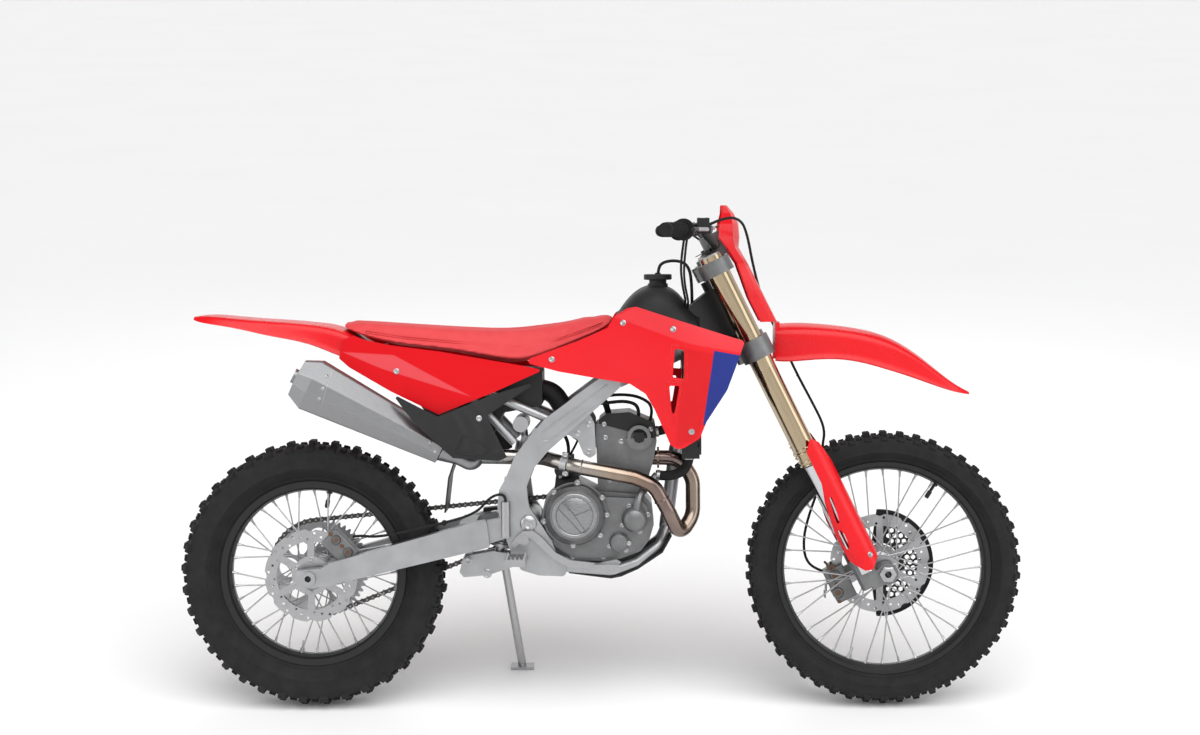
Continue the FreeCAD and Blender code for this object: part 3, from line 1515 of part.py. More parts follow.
subframe_shape = subframe()
feature("subframe", subframe_shape)

SKID_SHARES = [(0.00, 0.13), (0.41, 0.00), (0.51, 0.05), (0.67, 0.22), (0.91, 0.61), (1.00, 1.00)]


def skid_plate():
    """Guard plate under the cradle rails."""
    lower = outline("skid", SKID_SHARES)
    wall = size("skid_thickness")
    upper = [(x - 0.7 * wall if b > 0.2 else x, z + wall)
             for (x, z), (a, b) in zip(lower, SKID_SHARES)]
    half = size("skid_half_width")
    return largest(prism(lower + upper[::-1], -half, half).cut(frame_shape))


feature("skid_plate", skid_plate())


# Swingarm and rear suspension

SWINGARM_SHARES = [(0.00, 0.33), (0.92, 0.98), (0.98, 1.00), (1.00, 0.59), (0.95, 0.55), (0.03, 0.00)]
AXLE_BLOCK_SHARES = [(0.00, 0.00), (0.01, 0.70), (0.71, 0.80), (1.00, 1.00), (1.00, 0.17)]
ROCKER_SHARES = [(0.00, 0.20), (0.07, 0.80), (0.60, 1.00), (1.00, 0.85), (0.96, 0.42),
                 (0.50, 0.08), (0.07, 0.00)]


def swingarm():
    """Two box beams with axle blocks, a cross brace and the pivot tube."""
    inner, outer = size("beam_inner"), size("beam_outer")
    front_inner = size("beam_front_inner")
    plate = size("plate_inner") - size("seat_gap")
    pivot = Vector(size("pivot_x"), 0, size("pivot_z"))
    radius = size("pivot_tube_radius")
    beam = outline("swingarm", SWINGARM_SHARES)
    block = outline("axle_block", AXLE_BLOCK_SHARES)
    nose_x = size("swingarm_x") + 0.80 * size("swingarm_length")
    nose_z = size("swingarm_z") + 0.47 * size("swingarm_height")
    nose = [(nose_x, nose_z), (nose_x, nose_z + 0.42 * size("swingarm_height")),
            (pivot.x, pivot.z + radius * 0.95), (pivot.x, pivot.z - radius * 0.95)]
    shapes = [rod(pivot - LEFTWARD * plate, pivot + LEFTWARD * plate, radius)]
    for side in SIDES:
        shapes.append(prism(beam, side * inner, side * outer, size("beam_corner")))
        shapes.append(prism(block, side * inner, side * outer))
        shapes.append(prism(nose, side * front_inner, side * plate))
    shapes.append(Part.makeBox(size("brace_length"), 2 * inner, size("brace_height"),
                               Vector(size("brace_x"), -inner, size("brace_z"))))
    solid = joined(shapes)
    return solid.cut(rod(REAR_AXLE - LEFTWARD * 2 * outer, REAR_AXLE + LEFTWARD * 2 * outer,
                         size("rear_axle_radius")))


feature("swingarm", swingarm())


def linkage():
    """Rocker plates and a pull arm under the shock."""
    plates = []
    for side in SIDES:
        plates.append(prism(outline("rocker", ROCKER_SHARES), side * size("rocker_inner"),
                            side * size("rocker_outer"), size("beam_corner")))
    foot = Vector(size("shock_foot_x"), 0, size("shock_foot_z"))
    pin = rod(foot - LEFTWARD * size("rocker_outer"), foot + LEFTWARD * size("rocker_outer"),
              size("shock_bolt_radius"))
    rear_pin = Vector(size("rocker_x") + 0.12 * size("rocker_length"), 0,
                      size("rocker_z") + 0.5 * size("rocker_height"))
    boss = rod(rear_pin - LEFTWARD * size("rocker_outer"), rear_pin + LEFTWARD * size("rocker_outer"),
               size("rocker_boss_radius"))
    post = Part.makeBox(size("rocker_post_length"), 2 * size("rocker_inner"), size("brace_z") - rear_pin.z,
                        Vector(rear_pin.x, -size("rocker_inner"), rear_pin.z))
    front_pin = Vector(size("rocker_x") + 0.93 * size("rocker_length"), 0,
                       size("rocker_z") + 0.62 * size("rocker_height"))
    anchor = Vector(size("spar_x") + 0.25 * size("spar_length"), 0,
                    size("spar_z") + 0.05 * size("spar_height"))
    arm_end = anchor - (anchor - front_pin).normalize() * (size("cross_tube_radius") + size("seat_gap"))
    radius = size("link_radius")
    arm = rod(front_pin, arm_end, radius)
    across = LEFTWARD * size("link_half_width")
    return joined(plates + [pin, boss, post, arm, rod(front_pin - across, front_pin + across, radius)])


feature("linkage", linkage())


def shock_absorber():
    """Shock body, rod, spring as stacked rings, eyes and its side reservoir."""
    top = Vector(size("shock_top_x"), 0, size("shock_top_z"))
    foot = Vector(size("shock_foot_x"), 0, size("shock_foot_z"))
    line = (top - foot).normalize()
    eye, half = size("shock_eye_radius"), size("shock_eye_half_width")
    body_radius = size("shock_body_radius")
    spring, wire = size("spring_radius"), size("spring_wire_radius")
    length, turns = size("spring_length"), int(size("spring_turns"))
    seat_low = foot + line * (eye * 2.4)
    shapes = [rod(top - LEFTWARD * half, top + LEFTWARD * half, eye),
              rod(foot - LEFTWARD * half, foot + LEFTWARD * half, eye),
              rod(foot + line * (0.8 * eye), foot + line * (length / 2), size("shock_rod_radius")),
              rod(seat_low, seat_low + line * wire * 1.6, spring),
              rod(seat_low + line * (length * 0.35), top - line * (eye / 2), body_radius),
              rod(seat_low + line * length, seat_low + line * (length + 1.6 * wire), spring)]
    shapes.append(rod(foot + line * (0.7 * eye), seat_low + line * wire, size("shock_rod_radius") * 1.6))
    coil_radius = spring - wire
    for i in range(turns):
        centre = seat_low + line * (length * (i + 0.8) / (turns + 0.6))
        shapes.append(cone(centre - line * wire, centre, coil_radius - wire * 0.4, spring))
        shapes.append(cone(centre, centre + line * wire, spring, coil_radius - wire * 0.4))
    core_low = seat_low + line * wire
    shapes.append(rod(core_low, seat_low + line * length, coil_radius - wire * 0.4))
    reservoir = Vector(size("reservoir_x"), 0, size("reservoir_z"))
    shapes.append(rod(reservoir - LEFTWARD * size("reservoir_outer"),
                      reservoir + LEFTWARD * size("reservoir_inner"), size("reservoir_radius")))
    shapes.append(rod(top, reservoir, eye * 0.8))
    solid = joined(shapes)
    across = LEFTWARD * size("shock_bolt_half")
    bolt = rod(foot - across, foot + across, size("shock_bolt_radius"))
    return solid.cut(bolt)


feature("shock_absorber", shock_absorber())

def chain_guides():
    """Slider on the swingarm under the upper run of the chain."""
    start_x, start_z = size("swingarm_x") + 0.93 * size("swingarm_length"), \
        size("swingarm_z") + size("swingarm_height")
    lap, top = size("slider_lap"), size("pivot_z") + size("pivot_tube_radius")
    slider = [(start_x, start_z - lap), (start_x, start_z + size("slider_thickness")),
              (size("pivot_x"), top + size("slider_rise")), (size("pivot_x"), top + size("seat_gap"))]
    return prism(slider, size("beam_front_inner"), size("plate_inner") - lap)


feature("chain_guides", chain_guides())


# Engine

CASE_SHARES = [(0.00, 0.41), (0.03, 0.25), (0.17, 0.09), (0.27, 0.01), (0.55, 0.00), (0.71, 0.03),
               (0.88, 0.12), (0.96, 0.27), (1.00, 0.46), (0.98, 0.71), (0.91, 0.83), (0.50, 0.88),
               (0.33, 1.00), (0.15, 0.93), (0.03, 0.76)]
CYLINDER_SHARES = [(0.04, 0.00), (0.78, 0.00), (0.94, 0.47), (1.00, 0.77), (0.00, 1.00), (0.02, 0.50)]
HEAD_SHARES = [(0.00, 0.62), (1.00, 0.00), (0.96, 0.59), (0.55, 1.00), (0.18, 0.94)]


def shrink(points, margin):
    """Outline drawn in towards its own middle by a margin."""
    middle_x = sum(x for x, z in points) / len(points)
    middle_z = sum(z for x, z in points) / len(points)
    result = []
    for x, z in points:
        away = math.hypot(x - middle_x, z - middle_z)
        share = (away - margin) / away
        result.append((middle_x + share * (x - middle_x), middle_z + share * (z - middle_z)))
    return result


case_outline = outline("case", CASE_SHARES)


def crankcase():
    """Engine cases with mounting lugs to the frame."""
    block = prism(case_outline, -size("case_right"), size("case_left"), size("cradle_radius"))
    head = Vector(size("cylinder_x") + 0.4 * size("cylinder_length"), 0, size("cylinder_z"))
    deck_half = size("cylinder_half_width") - size("deck_margin")
    deck = Part.makeBox(0.74 * size("cylinder_length"), 2 * deck_half, size("clearance") * 2,
                        Vector(size("cylinder_x") + 0.04 * size("cylinder_length"), -deck_half,
                               head.z - size("clearance") * 2))
    reach = 2 * size("case_right")
    pivot_way = rod(Vector(size("pivot_x"), -reach, size("pivot_z")),
                    Vector(size("pivot_x"), reach, size("pivot_z")),
                    size("pivot_tube_radius") + size("clearance"))
    half = size("cylinder_half_width")
    seat_way = prism(outline("cylinder", CYLINDER_SHARES), -half, half)
    return joined([block, deck]).cut(pivot_way).cut(seat_way)


feature("crankcase", crankcase())


def stepped_cover(x, z, radius, y_from, y_to):
    """Round cover with a chamfered edge, standing out along Y."""
    step = (y_to - y_from) * 0.3
    base = Vector(x, y_from, z)
    shoulder = Vector(x, y_to - step, z)
    tip = Vector(x, y_to, z)
    return joined([rod(base, shoulder, radius), cone(shoulder, tip, radius, radius - abs(step) * 0.8)])


def engine_covers():
    """Right side cover with its clutch, pump and filter covers, and the generator cover."""
    face, seat_gap = -size("case_right"), size("seat_gap")
    step = face - size("side_cover_depth")
    plate = prism(shrink(case_outline, size("side_cover_margin")), face, step, size("cradle_radius"))
    right = [plate]
    for name in ("clutch", "pump", "filter"):
        right.append(stepped_cover(size(name + "_x"), size(name + "_z"), size(name + "_radius"),
                                   step, step - size(name + "_depth")))
    left = stepped_cover(size("generator_x"), size("generator_z"), size("generator_radius"),
                         size("case_left"), size("case_left") + size("generator_depth"))
    spar_way = prism(outline("spar", SPAR_SHARES), -size("plate_outer"), seat_gap - size("plate_inner"))
    return Part.makeCompound([largest(joined(right).cut(spar_way)), left])


feature("engine_covers", engine_covers())


def cylinder_block():
    """Cylinder and head casting, with the cam cover boss and the exhaust port."""
    half = size("cylinder_half_width")
    block = prism(outline("cylinder", CYLINDER_SHARES), -half, half, size("cradle_radius") / 2)
    cam = rod(Vector(size("cam_x"), -half, size("cam_z")),
              Vector(size("cam_x"), -half - size("cam_depth"), size("cam_z")), size("cam_radius"))
    reach, height = 4 * size("cam_radius"), size("cam_boss_height")
    keep = box(reach, 4 * half, height, Vector(size("cam_x"), 0, size("cam_z") - size("cam_boss_drop")))
    return joined([block, cam.common(keep)])


feature("cylinder", cylinder_block())
feature("head_cover", prism(outline("head", HEAD_SHARES), -size("head_half_width"),
                            size("head_half_width"), size("cradle_radius") / 2))


# Exhaust

PORT = Vector(size("cylinder_x") + size("cylinder_length"), 0,
              size("cylinder_z") + 0.46 * size("cylinder_height"))
MUFFLER_REAR = Vector(size("muffler_rear_x"), -size("muffler_rear_y"), size("muffler_rear_z"))
MUFFLER_FRONT = Vector(size("muffler_front_x"), -size("muffler_front_y"), size("muffler_front_z"))


def header_points():
    """Route of the header, in steps of the engine's own sizes."""
    reach, drop = size("cylinder_length"), size("cylinder_height")
    side = size("case_right") + size("side_cover_depth") + size("pipe_radius")
    inside = size("plate_inner") - size("pipe_radius") - 2 * size("clearance")
    route = [(-0.12, -0.27, 0.03), (0.36, -0.34, 0.03), (0.58, -0.39, -0.27), (0.58, -0.47, -0.77),
             (0.36, -0.71, -1.03), (0.18, -0.95, -0.68), (-0.05, -1.02, -0.31), (-0.37, -1.03, -0.19),
             (-1.28, -1.00, -0.045)]
    points = [PORT + Vector(a * reach, b * side, c * drop) for a, b, c in route]
    x, length = size("spar_x"), size("spar_length")
    return points + [Vector(x + 0.52 * length, -0.84 * side, PORT.z),
                     Vector(x + 0.36 * length, -inside, PORT.z + 0.06 * drop),
                     Vector(x + 0.05 * length, -inside, PORT.z + 0.07 * drop)]


def exhaust_header():
    """Header pipe that loops down in front of the engine and back along its right side."""
    pipe = tube(header_points(), size("pipe_radius"), 3.2 * size("pipe_radius"))
    start = header_points()[0]
    flange = rod(Vector(PORT.x, start.y, start.z), Vector(PORT.x + size("clearance"), start.y, start.z),
                 size("pipe_radius") * 1.45)
    head_part = prism(outline("cylinder", CYLINDER_SHARES), -2 * size("cylinder_half_width"),
                      2 * size("cylinder_half_width"))
    return largest(joined([pipe, flange]).cut(head_part))


feature("exhaust_header", exhaust_header())

MUFFLER_SHARES = [(-0.50, 1.00), (0.35, 1.00), (1.00, 0.30), (1.00, -0.28), (0.42, -1.00),
                  (-0.50, -1.00), (-0.92, -0.45), (-0.92, 0.45)]


def muffler_section(centre, line, height, width):
    """Section across the muffler, outer side first."""
    up = line.cross(LEFTWARD).normalize()
    if up.z < 0:
        up = up * -1
    out = Vector(0, -1, 0)
    points = [centre + out * (a * width / 2) + up * (b * height / 2) for a, b in MUFFLER_SHARES]
    return rounded_wire(points, height * 0.07)


def muffler():
    """Tapered can with an end cap, an inlet cone and the pipe to the header."""
    line = MUFFLER_FRONT - MUFFLER_REAR
    length = line.Length
    line.normalize()
    rear_height, rear_width = size("muffler_rear_height"), size("muffler_rear_width")
    front_height, front_width = size("muffler_front_height"), size("muffler_front_width")
    cap = size("muffler_cap_length")
    can = Part.makeLoft([muffler_section(MUFFLER_REAR, line, rear_height, rear_width),
                         muffler_section(MUFFLER_FRONT, line, front_height, front_width)], True, True)
    end_cap = Part.makeLoft([muffler_section(MUFFLER_REAR - line * cap, line, rear_height * 0.72,
                                             rear_width * 0.72),
                             muffler_section(MUFFLER_REAR, line, rear_height, rear_width)], True, True)
    outlet = rod(MUFFLER_REAR - line * (cap * 1.3), MUFFLER_REAR, size("pipe_radius"))
    inlet_end = MUFFLER_FRONT + line * (front_height * 0.55)
    inlet = cone(MUFFLER_FRONT - line, inlet_end, front_height * 0.42, size("pipe_radius") * 1.1)
    meet = header_points()[-1]
    along = (meet - header_points()[-2]).normalize()
    pipe = tube([inlet_end - line * size("clearance"), inlet_end + line * (length * 0.12),
                 meet + along * (length * 0.18), meet + along * size("seat_gap")],
                size("pipe_radius"), 2.2 * size("pipe_radius"))
    solid = joined([can, end_cap, outlet, inlet, pipe])
    hollow = rod(MUFFLER_REAR - line * (cap * 2), MUFFLER_REAR, size("pipe_radius") * 0.8)
    return solid.cut(hollow)


feature("muffler", muffler())


# Radiators, tank, seat and bodywork

def radiators():
    """Two cores with end tanks, behind the shrouds."""
    x, z = size("radiator_x"), size("radiator_z")
    depth, height = size("radiator_depth"), size("radiator_height")
    inner, outer = size("radiator_inner"), size("radiator_outer")
    tank = 0.11 * height
    rim_part = 0.12 * depth
    core = Part.makeBox(depth - 2 * rim_part, outer - inner, height,
                        Vector(x + rim_part, inner, z))
    low = Part.makeBox(depth, outer - inner, tank, Vector(x, inner, z))
    high = Part.makeBox(depth, outer - inner, tank, Vector(x, inner, z + height - tank))
    upper_lug = Part.makeBox(depth / 2, outer - inner, tank / 2,
                             Vector(x + depth / 5, 0.72 * inner, z + height - 0.6 * tank))
    lower_lug = Part.makeBox(rim_part, inner, tank / 3, Vector(x, 0.12 * inner, z + 0.6 * tank))
    left = joined([core, low, high, upper_lug, lower_lug]).cut(front_spar(1)).cut(down_tube())
    return both_sides(largest(left))


feature("radiators", radiators())

SEAT_SHARES = [
    # along, top, edge, half width on top, half width at the edge
    (0.00, 0.86, 0.76, 0.50, 0.62),
    (0.09, 0.85, 0.56, 0.70, 0.94),
    (0.23, 0.79, 0.38, 0.72, 1.00),
    (0.42, 0.71, 0.24, 0.66, 1.00),
    (0.66, 0.68, 0.03, 0.58, 1.00),
    (0.80, 0.78, 0.28, 0.54, 0.90),
    (0.88, 0.88, 0.48, 0.52, 0.82),
    (0.97, 1.00, 0.73, 0.46, 0.66),
    (1.00, 0.95, 0.88, 0.34, 0.44),
]


def seat_section(x, top, edge, top_half, edge_half):
    rise = top - edge
    right = [(0.0, top), (0.7 * top_half, top - 0.03 * rise), (top_half, top - 0.20 * rise),
             (0.5 * (top_half + edge_half), top - 0.60 * rise), (edge_half, edge + 0.06 * rise),
             (0.9 * edge_half, edge)]
    left = [(-y, z) for y, z in reversed(right[1:])]
    return [Vector(x, y, z) for y, z in right + [(0, edge)] + left]


def seat():
    """Seat foam and cover as one solid."""
    x, z = size("seat_x"), size("seat_z")
    length, height, half = size("seat_length"), size("seat_height"), size("seat_half_width")
    solid = smooth_loft([seat_section(x + a * length, z + top * height, z + low * height,
                                      wide * half, edge * half)
                         for a, top, low, wide, edge in SEAT_SHARES])
    return solid


seat_shape = seat()
feature("seat", seat_shape)

TANK_SHARES = [
    # along, top, bottom, half width
    (0.00, 0.24, 0.05, 0.50), (0.17, 0.34, 0.08, 0.62), (0.33, 0.47, 0.12, 0.74),
    (0.42, 0.68, 0.14, 0.84), (0.55, 0.92, 0.18, 0.96), (0.70, 1.00, 0.24, 1.00),
    (0.85, 0.90, 0.30, 0.92), (1.00, 0.66, 0.40, 0.74),
]


def barrel_section(x, top, bottom, half):
    """Section of the tank: flat crown, round shoulders and upright sides."""
    rise = top - bottom
    right = [(0.0, top), (0.42 * half, top - 0.02 * rise), (0.80 * half, top - 0.18 * rise),
             (half, top - 0.50 * rise), (0.96 * half, bottom + 0.12 * rise), (0.6 * half, bottom)]
    left = [(-y, z) for y, z in reversed(right[1:])]
    return [Vector(x, y, z) for y, z in right + [(0, bottom)] + left]


def turned_fork_tube(side):
    """Room that a fork tube needs once the steering is turned to its limit."""
    tube_room = rod(fork_point(0, side * size("fork_spread"), size("lower_clamp_height")),
                    fork_point(0, side * size("fork_spread"), size("outer_tube_top")),
                    size("outer_tube_radius") + size("clearance"))
    tube_room.rotate(fork_point(-size("clamp_offset"), 0, 0), ALONG, side * size("steering_limit"))
    return tube_room


def fuel_tank():
    """Fuel tank over the spars, cut clear of them and of the turned fork."""
    x, z = size("tank_x"), size("tank_z")
    length, height, half = size("tank_length"), size("tank_height"), size("tank_half_width")
    solid = smooth_loft([barrel_section(x + a * length, z + top * height, z + low * height, wide * half)
                         for a, top, low, wide in TANK_SHARES])
    for side in SIDES:
        solid = solid.cut(front_spar(side, size("seat_gap")))
        plate = prism(outline("spar", SPAR_SHARES), side * (size("plate_inner") - size("clearance")),
                      side * (size("plate_outer") + size("clearance")))
        solid = solid.cut(plate)
    solid = solid.cut(seat_shape)
    for side in SIDES:
        solid = solid.cut(turned_fork_tube(side))
    neck = rod(Vector(size("cap_x"), 0, size("cap_z") - size("cap_neck_sink")),
               Vector(size("cap_x"), 0, size("cap_z") + size("cap_neck_height") / 2),
               size("cap_neck_radius"))
    return joined([largest(solid), neck])


tank_shape = fuel_tank()
feature("fuel_tank", tank_shape)


def fuel_cap():
    base = Vector(size("cap_x"), 0, size("cap_z") + size("cap_neck_height") / 2)
    top = base + UP * size("cap_height")
    lower = rod(base, base + UP * (size("cap_height") * 0.45), size("cap_radius") * 0.62)
    upper = rod(base + UP * (size("cap_height") * 0.4), top, size("cap_radius"))
    return joined([lower, upper.makeFillet(size("cap_height") * 0.12, upper.Edges)])


feature("fuel_cap", fuel_cap())

SHROUD_SHARES = [(0.00, 0.61), (0.17, 0.54), (0.36, 0.49), (0.49, 0.46), (0.56, 0.39), (0.60, 0.28),
                 (0.67, 0.03), (0.70, 0.00), (0.73, 0.01), (0.80, 0.08), (0.83, 0.20), (0.92, 0.42),
                 (0.97, 0.63), (1.00, 0.76), (0.84, 0.84), (0.68, 0.92), (0.52, 1.00), (0.48, 0.99),
                 (0.42, 0.93), (0.39, 0.85), (0.26, 0.76)]
UPPER_VENT_SHARES = [(0.69, 0.71), (0.73, 0.70), (0.73, 0.50), (0.68, 0.51)]
LOWER_VENT_SHARES = [(0.665, 0.45), (0.71, 0.45), (0.68, 0.18)]
SHROUD_WIDTH_SHARES = [(-0.03, 0.50), (0.20, 0.60), (0.42, 0.74), (0.60, 0.89), (0.82, 1.00), (1.03, 0.98)]
SHROUD_LEVEL_SHARES = [(-0.10, 0.90), (0.25, 0.97), (0.55, 1.00), (0.80, 0.95), (1.08, 0.80)]


BOLT_SHARES = [(0.48, 0.91), (0.68, 0.86), (0.765, 0.125)]


def curved_panel(piece, widths, levels, wall):
    """Upright panel skin on the left side: width shares along it, and in or out by level."""
    x, z = size(piece + "_x"), size(piece + "_z")
    length, height = size(piece + "_length"), size(piece + "_height")
    half = size(piece + "_half_width")
    sections = []
    for a, wide in widths:
        points = [Vector(x + a * length, half * wide * level, z + b * height) for b, level in levels]
        sections.append(band_section(points, Vector(0, -1, 0), wall))
    return Part.makeLoft(sections, True)


def shroud():
    """Radiator shroud with its two vents."""
    wall = size("panel_wall")
    skin = curved_panel("shroud", SHROUD_WIDTH_SHARES, SHROUD_LEVEL_SHARES, wall)
    deep = 2 * size("shroud_half_width")
    panel = skin.common(prism(outline("shroud", SHROUD_SHARES), 0, deep, wall * 2))
    for vent in (UPPER_VENT_SHARES, LOWER_VENT_SHARES):
        panel = panel.cut(prism(outline("shroud", vent), 0, deep, wall))
    panel = largest(panel)
    bolts = outline("shroud", BOLT_SHARES)
    for x, z in bolts[:2]:
        panel = with_post(panel, x, z, 0.4 * size("tank_half_width"), 2 * wall, tank_shape)
    x, z = bolts[2]
    return with_post(panel, x, z, size("radiator_outer"), 2 * wall, Part.makeSphere(wall))


feature("shrouds", both_sides(shroud()))

SIDE_PANEL_SHARES = [(0.00, 0.69), (0.05, 0.58), (0.25, 0.29), (0.49, 0.00), (0.75, 0.26), (0.985, 0.52),
                     (0.985, 0.55), (0.89, 0.60), (0.50, 0.77), (0.25, 0.85), (0.12, 0.92), (0.07, 0.97),
                     (0.02, 0.92)]
SIDE_WIDTH_SHARES = [(-0.03, 0.88), (0.25, 0.92), (0.49, 0.98), (0.75, 1.00), (1.03, 0.98)]
SIDE_LEVEL_SHARES = [(-0.10, 1.00), (0.40, 1.02), (0.80, 0.97), (1.10, 0.90)]


def side_panel():
    wall = size("panel_wall")
    skin = curved_panel("side_panel", SIDE_WIDTH_SHARES, SIDE_LEVEL_SHARES, wall)
    cut_line = prism(outline("side_panel", SIDE_PANEL_SHARES), 0, 2 * size("side_panel_half_width"), wall)
    panel = largest(skin.common(cut_line))
    x, z = size("spar_x") - 0.35 * size("spar_length"), size("spar_z") + 0.93 * size("spar_height")
    return with_post(panel, x, z, 0.82 * size("plate_inner"), 2 * wall, subframe_shape)


feature("side_covers", both_sides(side_panel()))

LOWER_PANEL_SHARES = [(0.00, 0.76), (0.13, 0.44), (0.36, 0.04), (0.63, 0.00), (0.68, 0.04), (0.56, 0.50),
                      (0.87, 0.88), (0.59, 0.73), (0.27, 0.50)]
LOWER_WIDTH_SHARES = [(-0.03, 0.98), (0.20, 0.95), (0.42, 0.87), (0.65, 0.80), (1.03, 0.72)]
LOWER_LEVEL_SHARES = [(-0.10, 0.96), (0.25, 1.00), (0.60, 0.96), (1.10, 0.86)]


def lower_panel():
    wall = size("panel_wall")
    skin = curved_panel("lower_panel", LOWER_WIDTH_SHARES, LOWER_LEVEL_SHARES, wall)
    cut_line = prism(outline("lower_panel", LOWER_PANEL_SHARES), 0,
                     2 * size("lower_panel_half_width"), wall)
    panel = largest(skin.common(cut_line))
    x = size("spar_x") - 0.147 * size("spar_length")
    z = size("spar_z") + 0.765 * size("spar_height")
    return with_post(panel, x, z, 0.85 * size("plate_inner"), 2 * wall, subframe_shape)


feature("lower_covers", both_sides(lower_panel()))

REAR_FENDER_SHARES = [
    # along, crown, edge, half width at the crown side, half width at the edge
    (0.00, 0.98, 0.92, 0.50, 0.60),
    (0.05, 1.00, 0.86, 0.62, 0.74),
    (0.20, 0.96, 0.76, 0.74, 0.88),
    (0.40, 0.90, 0.58, 0.80, 0.94),
    (0.60, 0.84, 0.40, 0.82, 0.95),
    (0.76, 0.72, 0.14, 0.82, 0.94),
    (0.84, 0.54, 0.04, 0.82, 0.92),
    (1.00, 0.32, -0.14, 0.82, 0.90),
]


def rear_fender():
    """Rear mudguard, which dips under the seat at its front, with tabs to the subframe."""
    shell = Part.makeLoft(fender_sections("rear_fender", REAR_FENDER_SHARES), True)
    radius = size("subframe_radius")
    bar_x = size("spar_x") - 0.95 * size("spar_length")
    bar_z = size("spar_z") + 1.02 * size("spar_height")
    crown = size("rear_fender_z") + 0.33 * size("rear_fender_height")
    tab = Part.makeBox(1.4 * radius, 2 * radius, crown - bar_z,
                       Vector(bar_x - 0.7 * radius, 2 * radius, bar_z))
    tabs = [tab.cut(subframe_shape), mirrored(tab.cut(subframe_shape))]
    return joined([shell] + [largest(tab) for tab in tabs])


feature("rear_fender", rear_fender())

AIRBOX_SHARES = [(0.00, 0.00), (0.40, 0.00), (0.54, 0.34), (1.00, 0.44), (1.00, 0.94), (0.16, 1.00),
                 (0.00, 0.74)]
MUD_FLAP_SHARES = [(0.06, 0.00), (-0.12, -0.60), (-0.17, -1.10)]


def airbox():
    """Airbox under the seat with its intake boot, and the mud flap ahead of the tyre."""
    half = size("airbox_half_width")
    box_part = prism(outline("airbox", AIRBOX_SHARES), -half, half, size("cradle_radius") / 2)
    x, z = size("airbox_x"), size("airbox_z")
    length, height = size("airbox_length"), size("airbox_height")
    port = Vector(size("cylinder_x") - size("seat_gap"), 0,
                  size("cylinder_z") + 0.78 * size("cylinder_height"))
    boot = tube([Vector(x + 0.8 * length, 0, z + 0.70 * height),
                 Vector(x + 1.12 * length, 0, z + 0.60 * height),
                 Vector(port.x - size("port_run"), 0, port.z + size("port_rise")), port],
                size("intake_radius"), 2 * size("intake_radius"))
    rear_wall = prism(outline("cylinder", CYLINDER_SHARES), -2 * half, 2 * half)
    boot = boot.cut(rear_wall)
    wall = size("mud_flap_thickness")
    front = [(x + a * length, z + b * height) for a, b in MUD_FLAP_SHARES]
    back = [(px - wall, pz) for px, pz in front]
    front[0] = (front[0][0], front[0][1] + wall)
    back[0] = (back[0][0], back[0][1] + wall)
    flap = prism(front + back[::-1], -size("mud_flap_half_width"), size("mud_flap_half_width"))
    return joined([box_part, largest(boot), flap])


feature("airbox", airbox())


# Foot controls

PEDAL_SHARES = [(0.00, 0.64), (0.04, 0.80), (0.11, 0.98), (0.20, 1.00), (0.29, 0.80), (0.41, 0.43),
                (0.54, 0.24), (0.79, 0.16), (0.96, 0.26), (1.00, 0.18), (0.95, 0.04), (0.77, 0.00),
                (0.52, 0.06), (0.39, 0.26), (0.27, 0.58), (0.19, 0.80), (0.13, 0.80), (0.07, 0.64),
                (0.04, 0.56)]


def footpeg():
    """Open toothed peg on its bracket, left side."""
    plate = size("plate_outer")
    inner, outer = size("peg_inner"), size("peg_outer")
    length, height, wall = size("peg_length"), size("peg_height"), size("peg_wall")
    x, z = size("peg_x"), size("peg_z")
    bracket = Part.makeBox(0.8 * length, inner - plate, 1.6 * height,
                           Vector(x - 0.4 * length, plate, z - 1.1 * height))
    frame = Part.makeBox(length, outer - inner + wall, height,
                         Vector(x - length / 2, inner - wall, z - height / 2))
    cells = []
    opening = (outer - inner - 3 * wall) / 2
    for i in range(2):
        for sign in SIDES:
            cells.append(Part.makeBox(length / 2 - 1.5 * wall, opening, 2 * height,
                                      Vector(x + (wall / 2 if sign > 0 else wall - length / 2),
                                             inner + wall + i * (opening + wall), z - height)))
    return joined([bracket, frame.cut(Part.makeCompound(cells))])


feature("footpegs", both_sides(footpeg()))


